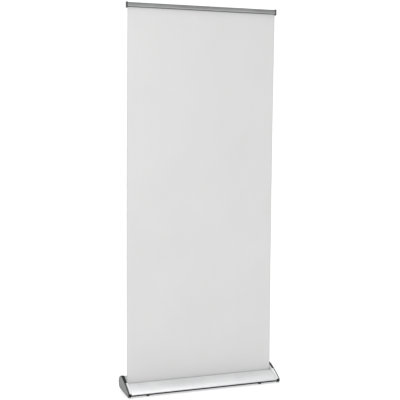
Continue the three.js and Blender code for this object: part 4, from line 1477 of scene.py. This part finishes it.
# ------------------------------------------------------------------ top rail
# The snap rail is two aluminium extrusions: a back bar that the banner lies against, and a front jaw
# that turns on a bead under the rail's top and presses the sheet against it. Both are satin anodised.
rail_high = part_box("rail_back")[1]
jaw_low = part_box("rail_jaw")[0]
# Heights of the painted dark reflection bands at the rail's lower and upper edges.
LOW_SHADE_BAND = 4.5 * MM
TOP_SHADE_BAND = 3.5 * MM


def rail_material():
    """Satin anodised aluminium, darkened along its rounded upper and lower edges as painted reflection.
    """
    material, tree, shader = new_material("satin_anodised_rail")
    where = object_coordinates(tree)
    metal = place_group(
        tree,
        drawn_metal,
        where,
        pale=(0.64, 0.645, 0.65, 1),
        deep=(0.51, 0.515, 0.52, 1),
        roughness_low=0.28,
        roughness_high=0.44,
    )
    height = add_node(tree, "ShaderNodeSeparateXYZ")
    tree.links.new(where, height.inputs[0])
    z, bottom, top = height.outputs["Z"], jaw_low[2], rail_high[2]
    # Painted reflection: dark bands along the lower and upper edges stand for the dark room reflected in
    # the rounded lips.
    low_edge_shade = spread(tree, z, 1.0, 0.0, bottom + LOW_SHADE_BAND * 0.8, bottom + LOW_SHADE_BAND)
    top_edge_shade = spread(tree, z, 0.0, 0.5, top - TOP_SHADE_BAND, top - TOP_SHADE_BAND * 0.8)
    edges = maths(tree, "MAXIMUM", low_edge_shade, top_edge_shade)
    colour = blend_colours(tree, edges, metal.outputs["Color"], (0.13, 0.132, 0.135, 1))
    cover_surface(tree, shader, colour, metal.outputs["Roughness"], 0.88)
    raise_surface(tree, shader, metal.outputs["Height"], 0.25, 0.05 * MM)
    return material


rail_metal = rail_material()
rail = finished_copy("rail_back", "rail_back_extrusion", 0.25 * MM, 2, 40)
give(rail, rail_metal, "rail", "anodised_aluminium", "rail_back")
jaw = finished_copy("rail_jaw", "rail_jaw_extrusion", 0.3 * MM, 2, 40)
give(jaw, rail_metal, "rail_jaw", "anodised_aluminium", "rail_jaw")
grip = finished_copy("jaw_grip_strip", "jaw_grip_strip_rubber", 0.2 * MM)
give(grip, shade_strip_and_grip_rubber, "rail_jaw", "rubber", "jaw_grip_strip")


# ------------------------------------------------------------------ rail end caps
# Dark grey moulded caps are pushed into both ends of the rail. They stand a little proud of it all
# round and have a shallow sunk panel on their outer faces.
def make_rail_cap(side):
    sign = -1 if side == "left" else 1
    cap = finished_copy(f"rail_cap_{side}", f"rail_cap_{side}_moulding", 0.01 * MM, 1)
    faces_towards(cap, Vector((sign, 0, 0)))
    bpy.ops.object.mode_set(mode="EDIT")
    bpy.ops.mesh.select_mode(type="FACE")
    inset_selected(1.8 * MM, 0)
    inset_selected(0.5 * MM, -0.5 * MM)
    bpy.ops.object.mode_set(mode="OBJECT")
    soften(cap, 0.9 * MM, 3)
    return cap


cap_plastic = moulded_material(
    "dark_grey_moulding",
    (0.11, 0.11, 0.113, 1),
    (0.075, 0.075, 0.078, 1),
    (0.36, 0.5),
    pitting=1800,
    rub=0.4,
)
for side in ("left", "right"):
    give(make_rail_cap(side), cap_plastic, "rail", "cap_plastic", f"rail_cap_{side}")


# ------------------------------------------------------------------ rail hook
# A black nylon bracket on the rail's back takes the pole head's tongue. Two screws go through it into
# the rail.
hook = finished_copy("rail_hook", "rail_hook_moulding", 0.5 * MM, 3)
give(hook, black_nylon, "rail", "black_plastic", "rail_hook")


# ------------------------------------------------------------------ camera and light
# A plain white studio: pale floor and world, a soft light to the left, an even one overhead, and a
# camera standing to the left of the front, at about seven tenths of the stand's height.
CAMERA_PLACE = (-1.8837, slot_y - 4.7042, slot_z + 1.4262)
CAMERA_YAW = math.radians(21.715)
CAMERA_DOWN = math.radians(5.010)
CAMERA_ROLL = math.radians(0.462)
LENS = 83.83
FLOOR_SIZE = 80
KEY_PLACE = (-2.1, -1.5, 2.3)
KEY_AIM = (0, 0, 1.5)
KEY_SIZE = (1.2, 1.6)
KEY_POWER = 13
CEILING_STRENGTH = 1.65
WALLS_SEEN = 1.1
WALLS_LIGHTING = 0.34


def make_floor():
    clear_selection()
    bpy.ops.mesh.primitive_plane_add(size=FLOOR_SIZE, location=(0, 0, 0))
    floor = bpy.context.object
    floor.name = "studio_floor"
    material, tree, shader = new_material("white_studio_floor")
    where = object_coordinates(tree)
    marks = texture(tree, "Noise", where, {"Scale": 2.2, "Detail": 4})
    share = spread(tree, marks.outputs["Fac"], 0.0, 1.0, 0.3, 0.7)
    colour = blend_colours(tree, share, (0.74, 0.74, 0.74, 1), (0.78, 0.78, 0.78, 1))
    cover_surface(tree, shader, colour, 0.9)
    shader.inputs["Emission Color"].default_value = (1, 1, 1, 1)
    shader.inputs["Emission Strength"].default_value = 0.45
    floor.data.materials.append(material)
    return floor


def make_soft_light(name, place, aim, size, power):
    clear_selection()
    bpy.ops.object.light_add(type="AREA", location=place)
    light = bpy.context.object
    light.name = name
    light.data.shape = "RECTANGLE"
    light.data.size, light.data.size_y = size
    light.data.energy = power
    towards = Vector(aim) - Vector(place)
    light.rotation_euler = towards.to_track_quat("-Z", "Y").to_euler()
    return light


def make_ceiling_light(strength):
    """A very soft even light from straight above, which whitens the floor everywhere alike."""
    clear_selection()
    bpy.ops.object.light_add(type="SUN", location=(0, 0, 5))
    light = bpy.context.object
    light.name = "ceiling_soft_light"
    light.data.energy = strength
    light.data.angle = math.radians(70)
    return light


def make_world(seen, lighting):
    """A white room: its walls are seen at one brightness and light the stand at a lower one."""
    world = bpy.data.worlds.new("white_room")
    world.use_nodes = True
    tree = world.node_tree
    lit = tree.nodes["Background"]
    lit.inputs["Color"].default_value = (1, 1, 1, 1)
    lit.inputs["Strength"].default_value = lighting
    seen_wall = add_node(tree, "ShaderNodeBackground", {"Color": (1, 1, 1, 1), "Strength": seen})
    path = tree.nodes.new("ShaderNodeLightPath")
    either = tree.nodes.new("ShaderNodeMixShader")
    tree.links.new(path.outputs["Is Camera Ray"], either.inputs["Fac"])
    tree.links.new(lit.outputs["Background"], either.inputs[1])
    tree.links.new(seen_wall.outputs["Background"], either.inputs[2])
    tree.links.new(either.outputs["Shader"], tree.nodes["World Output"].inputs["Surface"])
    bpy.context.scene.world = world


def make_camera():
    camera = bpy.data.objects.new("view_camera", bpy.data.cameras.new("view_camera"))
    bpy.context.scene.collection.objects.link(camera)
    camera.data.lens = LENS
    camera.data.sensor_width = 36
    down, yaw = CAMERA_DOWN, CAMERA_YAW
    forward = Vector((math.sin(yaw) * math.cos(down), math.cos(yaw) * math.cos(down), -math.sin(down)))
    level = Vector((math.cos(yaw), -math.sin(yaw), 0))
    above = level.cross(forward)
    right = level * math.cos(CAMERA_ROLL) + above * math.sin(CAMERA_ROLL)
    up = above * math.cos(CAMERA_ROLL) - level * math.sin(CAMERA_ROLL)
    turn = Matrix((right, up, -forward)).transposed().to_4x4()
    camera.matrix_world = Matrix.Translation(CAMERA_PLACE) @ turn
    bpy.context.scene.camera = camera
    return camera


floor = make_floor()
key = make_soft_light("left_soft_light", KEY_PLACE, KEY_AIM, KEY_SIZE, KEY_POWER)
ceiling = make_ceiling_light(CEILING_STRENGTH)
make_world(WALLS_SEEN, WALLS_LIGHTING)
camera = make_camera()
bpy.context.scene.view_settings.view_transform = "Standard"
